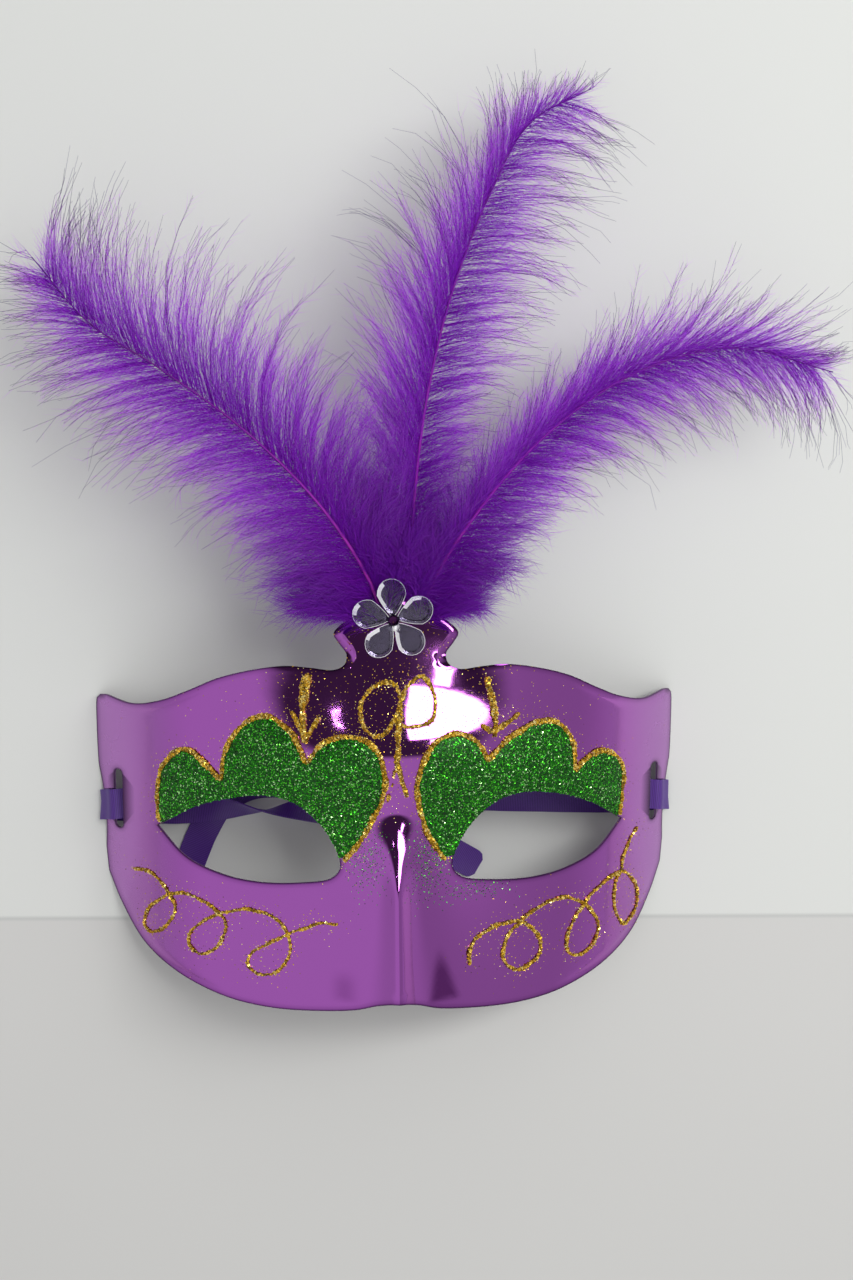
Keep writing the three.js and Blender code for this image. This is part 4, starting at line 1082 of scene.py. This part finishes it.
def gold_dust(flat):
    """Share of the shell under gold dust: thin beside the strokes, a trace over the brow."""
    lines = [through(rows, 2) for strokes in GOLD_STROKES.values() for _, _, rows in strokes]
    away = np.min([distance_to(flat, line, closed=False) for line in lines], axis=0)
    brow = bell(flat[:, 0] / GOLD_DUST["brow_half"])
    brow = brow * smooth((flat[:, 1] - GOLD_DUST["brow_y"]) / GOLD_DUST["brow_run"])
    return GOLD_DUST["share"] * np.exp(-away / GOLD_DUST["fade"]) + GOLD_DUST["brow"] * brow


def green_dust(flat):
    """Share of the shell under green dust: the sides of the nose and below the right eye."""
    x, y = flat.T
    sides = sum(
        row["share"] * bell((x - row["x"]) / row["half"]) * bell((y - row["y"]) / row["tall"])
        for row in GREEN_DUST
    )
    below = EYE_DUST["share"] * smooth((x - EYE_DUST["from"]) / EYE_DUST["from_run"])
    below = below * smooth((EYE_DUST["to"] - x) / EYE_DUST["to_run"])
    return sides + below * bell((y - EYE_DUST["y"]) / EYE_DUST["tall"])


GLITTER = glitter_tree()
GOLD_GLUE = glue("gold_glitter_glue", "42300A", "A8821C")
GOLD_FLAKE = flakes("gold_glitter_flake", 0.5, [
    (0, "4A3204"), (0.3, "C8960E"), (0.65, "FFD236"), (1, "FFF0A0"),
])
GREEN_GLUE = glue("green_glitter_glue", "042404", "125A10")
GREEN_FLAKE = flakes("green_glitter_flake", 0.75, [
    (0, "063604"), (0.55, "249C0A"), (0.86, "60E030"), (1, "D8FFC0"),
])
GOLD_STROKES = {
    "gold_outline_left": OUTLINE_LEFT, "gold_outline_right": OUTLINE_RIGHT, "gold_scroll_left": SCROLL_LEFT,
    "gold_scroll_right": SCROLL_RIGHT, "gold_mark_left": MARK_LEFT, "gold_mark_right": MARK_RIGHT,
    "gold_bow": BOW,
}
for seed, (name, strokes) in enumerate(GOLD_STROKES.items()):
    make_gold(name, strokes, seed + 1, GOLD_GLUE, GOLD_FLAKE, GLITTER)
make_green("green_patch_left", OUTLINE_LEFT, -1, 21, GREEN_GLUE, GREEN_FLAKE, GLITTER)
make_green("green_patch_right", OUTLINE_RIGHT, 1, 22, GREEN_GLUE, GREEN_FLAKE, GLITTER)
make_dust("loose_gold_dust", "gold_glitter", gold_dust, 25, GOLD_FLAKE, GLITTER)
make_dust("loose_green_dust", "green_glitter", green_dust, 26, GREEN_FLAKE, GLITTER)


def acrylic():
    """Clear moulded acrylic: bends what lies behind it and catches the light on its bevels."""
    material, tree = material_of("clear_acrylic")
    finish_of(tree, {
        "Base Color": linear("F4F2FA"), "Roughness": 0.03, "IOR": 1.49, "Transmission Weight": 1.0,
    })
    return material


def foil():
    """Tarnished silver foil under the stone."""
    material, tree = material_of("silver_foil")
    finish_of(tree, {"Base Color": linear("4C4658"), "Metallic": 1.0, "Roughness": 0.2})
    return material


def painted_glint():
    """Painted highlight: plain white on the glinting bevels, the rims of the petals and the blob of glue."""
    material, tree = material_of("painted_glint_white")
    finish_of(tree, {"Base Color": linear("FFFFFF"), "Roughness": 0.1})
    return material


def hoop(outline, height, radius):
    """Points and faces of a thin closed bar along a flat outline."""
    along = headings(outline, closed=True)
    off = np.stack((along[:, 1], -along[:, 0]), axis=1)
    turn = turns(FLOWER["edge_sides"])
    flat = outline[:, None, :] + radius * np.cos(turn)[:, None] * off[:, None, :]
    rise = np.tile(height + radius * np.sin(turn), len(outline))
    return np.column_stack((flat.reshape(-1, 2), rise)), looped_faces(len(outline), len(turn))


def stacked(outline, levels):
    """Rings of corners at the levels, each a height and the outline's scale there."""
    rings = [np.column_stack((outline * scale, np.full(len(outline), height))) for height, scale in levels]
    return np.vstack(rings)


def make_flower(clear, silver, bright):
    """Five drop-shaped petals on foil, a ring round the hole and the blob of glue that holds them, with
    painted white glints.
    """
    sides = FLOWER["sides"]
    cos, sin = np.cos(turns(sides)), np.sin(turns(sides))
    ahead, behind = FLOWER["reach"] - FLOWER["middle"], FLOWER["middle"] - FLOWER["inner"]
    pinch = 1 + FLOWER["pinch"] * np.minimum(cos, 0)
    drop = np.stack((cos * np.where(cos > 0, ahead, behind), sin * FLOWER["wide"] * pinch), axis=1)
    cut = [(FLOWER["seat"], FLOWER["seat_inset"]), (FLOWER["girdle"], 1), (FLOWER["table"], FLOWER["inset"])]
    backing = [(-FLOWER["foil"], FLOWER["foil_inset"]), (0, FLOWER["foil_inset"])]
    edge, edge_faces = hoop(drop, FLOWER["girdle"], FLOWER["edge"])
    bevels = ring_faces(len(cut), sides)
    parts, kinds = [], []

    def take(corners, shapes, kind):
        parts.append((corners, shapes))
        kinds.extend(np.broadcast_to(kind, len(shapes)).tolist())

    for petal in range(FLOWER["petals"]):
        angle = math.radians(FLOWER["turn"]) + petal * 2 * math.pi / FLOWER["petals"]
        to_x, to_y = math.cos(angle), math.sin(angle)
        spin = np.array(((to_x, to_y, 0), (-to_y, to_x, 0), (0, 0, 1)))
        out = (FLOWER["middle"], 0, 0)
        shine = np.full(len(bevels), CLEAR)
        # Painted highlights: the bevels that face the window are white
        shine[sides + np.arange(*GLINTS[petal]) % sides] = PAINTED_GLINT
        take((stacked(drop, cut) + out) @ spin, bevels, shine)
        take((stacked(drop, backing) + out) @ spin, ring_faces(len(backing), sides), SILVER)
        # Painted highlight: a thin white rim round each petal
        take((edge + out) @ spin, edge_faces, PAINTED_GLINT)
    hole, ring, rise = FLOWER["hole"], FLOWER["ring"], FLOWER["rise"]
    shoulder = rise * FLOWER["shoulder"]
    profile = [(hole, 0), (ring, 0), (ring, shoulder), ((hole + ring) / 2, rise), (hole, shoulder)]
    corners = [(radius * c, radius * s, height) for c, s in zip(cos, sin) for radius, height in profile]
    take(np.array(corners), looped_faces(sides, len(profile)), SILVER)
    blob = stacked(np.stack((cos, sin), axis=1), BLOB)
    # Painted highlight: the blob of glue is white
    take(blob + BLOB_AT, ring_faces(len(BLOB), sides), PAINTED_GLINT)
    below = np.linspace(-FLOWER["reach"], FLOWER["ring"], 8) + FLOWER["y"]
    foot = face_height(np.full(len(below), FLOWER["x"]), below).max() + FLOWER["foil"]
    points, faces = joined(parts)
    stone = build("flower_stone", points + (FLOWER["x"], FLOWER["y"], foot), faces, [clear, silver, bright],
                  kinds=kinds)
    dress(stone, "clear_acrylic", "flower_gem")


make_flower(acrylic(), foil(), painted_glint())


def shaft_of(plume):
    """Evenly spaced points of a plume's shaft and the headings there."""
    line = through(plume["shaft"], 1)
    far = run_of(line)
    even = np.linspace(0, far[-1], SHAFT["pieces"] + 1)
    line = np.stack([np.interp(even, far, line[:, k]) for k in range(3)], axis=1)
    return line, headings(line)


def lock_lines(plume, side, kind, chance):
    """Guide lines of one kind of barb on one side of a plume, the shaft's heading at each and its place."""
    line, along = shaft_of(plume)
    hand = 1 if side == 0 else -1
    locks = BARBS[kind]["locks"]
    if kind == "hair":
        rows = [row for row in plume["hairs"] if row[2] == side]
        share = np.concatenate([chance.uniform(row[0], row[1], locks) for row in rows])
        reach, first, last = np.repeat([row[3:] for row in rows], locks, axis=0).T
        locks = len(share)
    else:
        rows = np.array(plume[kind])
        start = rows[0, 0]
        even = (np.arange(locks) + chance.uniform(0.1, 0.9, locks)) / locks
        share = start + (TUFTS["last"] - start) * even ** BARBS[kind]["crowd"]
        reach, first, last = (np.interp(share, rows[:, 0], rows[:, 1 + 3 * side + k]) for k in range(3))
    drift = TUFTS["drift"] * np.sin(share * TUFTS["drift_waves"])
    clump = np.sin(share * TUFTS["waves"] * 2 * math.pi + side + drift)
    reach = reach * chance.uniform(LOCK["short"], LOCK["long"], locks) * (1 + TUFTS["ragged"] * clump)
    first = first + chance.uniform(-LOCK["first"], LOCK["first"], locks)
    last = last + TUFTS["swing"] * clump + chance.uniform(-LOCK["last"], LOCK["last"], locks)
    spot = np.rint(share * SHAFT["pieces"]).astype(int)
    root, ahead = line[spot], along[spot]
    t = np.linspace(0, 1, LOCK["steps"] + 1)[None, :]
    sweep = np.radians(first[:, None] + (last - first)[:, None] * t)
    angle = np.arctan2(ahead[:, 1], ahead[:, 0])[:, None] + hand * sweep
    pace = reach[:, None] / LOCK["steps"]
    x, y = (
        np.concatenate((np.zeros((locks, 1)), np.cumsum(part(angle[:, :-1]) * pace, axis=1)), axis=1)
        for part in (np.cos, np.sin)
    )
    z = chance.uniform(-LOCK["lift"], LOCK["lift"], (locks, 1)) * t + LOCK["arch"] * np.sin(t * math.pi)
    left, right = (edge[0] - root[:, 0] for edge in PLUME_ROOM)
    room_x = np.where(x[:, -1] < 0, left, right) / x[:, -1]
    room_y = np.where(y[:, -1] < 0, 1, (PLUME_ROOM[1][1] - root[:, 1]) / y[:, -1])
    fit = np.clip(LOCK["room"] * np.minimum(room_x, room_y), LOCK["least"], 1)[:, None, None]
    return root[:, None, :] + np.stack((x, y, z), axis=2) * fit, ahead, share


def make_barbs(name, plume, side, seed, finishes, tree):
    """All barbs on one side of a plume."""
    chance = np.random.default_rng(seed)
    points, edges, carried = [], [], {}
    for kind, measures in BARBS.items():
        lines, ahead, share = lock_lines(plume, side, kind, chance)
        locks, steps, _ = lines.shape
        start = sum(map(len, points))
        points.append(lines.reshape(-1, 3))
        for lock in range(locks):
            corner = start + lock * steps
            edges += [(corner + k, corner + k + 1) for k in range(steps - 1)]
        values = {key: np.full(locks, measures[key] * MM) for key in ("root", "tip", "thick")}
        values["barbs"] = np.full(locks, measures["barbs"])
        values["along"] = ahead
        bare = smooth((share - BARE_TIPS["from"]) / BARE_TIPS["run"])
        values["far"] = measures["down"] + BARE_TIPS["more"] * bare
        values["foot"] = FOOT_SHADE_AND_FULLNESS["deeper"] * smooth((FOOT_SHADE_AND_FULLNESS["end"] - share) / FOOT_SHADE_AND_FULLNESS["run"])
        for key, value in values.items():
            carried.setdefault(key, []).append(np.repeat(value, steps, axis=0))
    mesh = bpy.data.meshes.new(name + ("_barbs_left", "_barbs_right")[side])
    mesh.from_pydata(placed(np.vstack(points)).tolist(), edges, [])
    for key, values in carried.items():
        kind, field = ("FLOAT_VECTOR", "vector") if key == "along" else ("FLOAT", "value")
        kept = mesh.attributes.new(key, kind, "POINT")
        kept.data.foreach_set(field, np.concatenate(values).astype(np.float32).ravel())
    barbs = put(mesh.name, mesh)
    grown(barbs, tree, {
        "Points": STRAND["points"], "Frizz": STRAND["frizz"] * MM, "Depth": STRAND["depth"] * MM,
        "Seed": seed, "Gap": BARBULE["gap"] * MM, "Length": BARBULE["length"] * MM,
        "Thickness": BARBULE["thick"] * MM,
        "Lean": BARBULE["lean"], "Barb": finishes[0], "Down": finishes[1],
    })
    dress(barbs, "dyed_feather", name)


def make_shaft(name, plume, quill):
    """The tapered shaft of a plume, proud of its barbs."""
    line = shaft_of(plume)[0][::SHAFT["every"]] + (0, 0, SHAFT["raised"])
    along = headings(line)
    count = len(line)
    across = unit(np.cross(along, (0, 0, 1)))
    up = np.cross(across, along)
    place = np.linspace(0, 1, count)
    half = SHAFT["root"] + (SHAFT["tip"] - SHAFT["root"]) * np.sqrt(place)[:, None, None]
    turn = turns(SHAFT["sides"])[:, None]
    ring = half * (np.cos(turn) * across[:, None, :] + np.sin(turn) * up[:, None, :])
    faces = [face[::-1] for face in ring_faces(count, SHAFT["sides"])]
    stem = build(name + "_shaft", (line[:, None, :] + ring).reshape(-1, 3), faces, [quill], SHAFT["sharp"],
                 {"reach": np.repeat(place, SHAFT["sides"])})
    dress(stem, "dyed_feather")


def barb_finish(name, near, far):
    """Dyed barbs that let some light through, from their colour by the shaft to that at their tips, with
    painted darker shade at the foot of the plume.
    """
    material, tree = material_of(name)
    reach, tone, foot = (
        add(tree, CARRIED, attribute_name=key).outputs["Fac"] for key in ("reach", "tone", "foot")
    )
    deep = add(tree, RAMP, {"Fac": reach}, stops=near)
    pale = add(tree, RAMP, {"Fac": reach}, stops=far)
    mixed = add(tree, MIX, {"Factor": tone, "A": deep, "B": pale}, data_type="RGBA")
    # Painted shade: deeper and darker towards the foot of the plume, where the fibres crowd
    colour = add(tree, MIX, {"Factor": foot, "A": mixed, "B": linear("860EC4")}, data_type="RGBA")
    skin = add(tree, "ShaderNodeBsdfPrincipled", {
        "Base Color": colour, "Roughness": 0.7, "Specular IOR Level": 0.06,
    })
    glow = add(tree, "ShaderNodeBsdfTranslucent", {"Color": colour})
    both = add(tree, "ShaderNodeMixShader", {0: 0.55, 1: skin, 2: glow})
    add(tree, "ShaderNodeOutputMaterial", {"Surface": both})
    return material


def quill_finish():
    """The shaft: horn that took the dye pinker, darker towards the tip."""
    material, tree = material_of("dyed_feather_quill")
    reach = add(tree, CARRIED, attribute_name="reach").outputs["Fac"]
    tone = add(tree, RAMP, {"Fac": reach}, stops=[(0, "B42CA4"), (0.35, "8C1CA0"), (1, "5A1880")])
    finish_of(tree, {"Base Color": tone, "Roughness": 0.5, "Specular IOR Level": 0.2})
    return material


BARB_FINISH = barb_finish("dyed_feather_barb", [(0, "8C18C4"), (0.45, "A228CC"), (1, "3C2860")],
                          [(0, "AE3AE0"), (0.45, "C256EE"), (1, "5E4490")])
DOWN_FINISH = barb_finish("dyed_feather_down", [(0, "A81CDC"), (0.4, "D654F8"), (1, "E4A0FC")],
                          [(0, "C440F0"), (0.4, "E684FE"), (1, "F2CCFF")])
QUILL_FINISH = quill_finish()
BARB_TREE = barb_tree()
for number, (name, plume) in enumerate(PLUMES.items()):
    make_shaft(name, plume, QUILL_FINISH)
    for side in (0, 1):
        make_barbs(name, plume, side, 31 + 2 * number + side, (BARB_FINISH, DOWN_FINISH), BARB_TREE)


def make_light(name, light):
    """A rectangular light that faces the brow from a direction and a distance."""
    data = bpy.data.lights.new(name, "AREA")
    data.shape = "RECTANGLE"
    data.size, data.size_y = light["size"]
    data.energy = light["power"]
    lamp = put(name, data)
    toward = Vector(light["toward"]).normalized()
    level = Vector((0, 1, 0)).cross(toward).normalized()
    lamp.matrix_world = Matrix((level, toward.cross(level), toward)).transposed().to_4x4()
    lamp.location = Vector(placed(LIT_SPOT)) + toward * light["away"]
    lamp.visible_glossy = light["mirrored"]


def make_room():
    """The light of a room dark overhead, bright round about and dimmer to the right."""
    world = bpy.data.worlds.new("room")
    bpy.context.scene.world = world
    world.use_nodes = True
    tree = world.node_tree
    tree.nodes.clear()
    look = add(tree, "ShaderNodeTexCoord").outputs["Generated"]
    from_dark = add(tree, "ShaderNodeMapping", {
        "Vector": look, "Location": (0.02, -0.5, 0), "Scale": (1.05, 1.5, 0),
    })
    away = add(tree, VECTOR, {0: from_dark}, operation="LENGTH")
    share = add(tree, RANGE, {"Value": away, "From Min": 0.62, "From Max": 0.85},
                interpolation_type="SMOOTHSTEP")
    light = add(tree, RAMP, {"Fac": share}, stops=[(0, "484048"), (1, "D6D6DA")])
    turned = add(tree, "ShaderNodeSeparateXYZ", {0: look}).outputs
    dimmer = add(tree, RANGE, {
        "Value": turned["X"], "From Min": -0.1, "From Max": 0.9, "To Min": 1.0, "To Max": 0.62,
    }, interpolation_type="SMOOTHSTEP")
    level = add(tree, RANGE, {"Value": turned["Z"], "From Min": 0.0, "From Max": 0.35},
                interpolation_type="SMOOTHSTEP")
    strength = add(tree, MIX, {"Factor": level, "A": 0.8, "B": dimmer})
    glow = add(tree, "ShaderNodeBackground", {"Color": light, "Strength": strength})
    add(tree, "ShaderNodeOutputWorld", {"Surface": glow})


def make_ground():
    """A pale matt ground with a painted shade line across it, as where a wall meets a table, and a little
    darker below that line.
    """
    material, tree = material_of("pale_ground")
    spot = add(tree, "ShaderNodeTexCoord").outputs["Object"]
    up = add(tree, VECTOR, {0: spot, 1: (GROUND["shade_line_slope"], 1, 0)}, operation="DOT_PRODUCT")
    shade_line, half_shade_line = ORIGIN[1] + GROUND["shade_line_y"] * MM, GROUND["shade_line_half"] * MM
    side = add(tree, RANGE, {"Value": up, "From Min": shade_line - half_shade_line, "From Max": shade_line + half_shade_line})
    # Painted shade: a darker line at the corner, and the ground below it darker than above
    tone = add(tree, RAMP, {"Fac": side}, stops=[(0, "CCCCC8"), (0.45, "BEC0BC"), (1, "D6D8D3")])
    finish_of(tree, {"Base Color": tone, "Roughness": 0.8, "Specular IOR Level": 0.2})
    half = GROUND["half"]
    corners = [(-half, -half, 0), (half, -half, 0), (half, half, 0), (-half, half, 0)]
    mesh = bpy.data.meshes.new("ground")
    mesh.from_pydata(corners, [], [(0, 1, 2, 3)])
    mesh.materials.append(material)
    put("ground", mesh)


make_room()
make_ground()
for name, light in LIGHTS.items():
    make_light(name, light)
bpy.context.scene.view_settings.view_transform = "Standard"
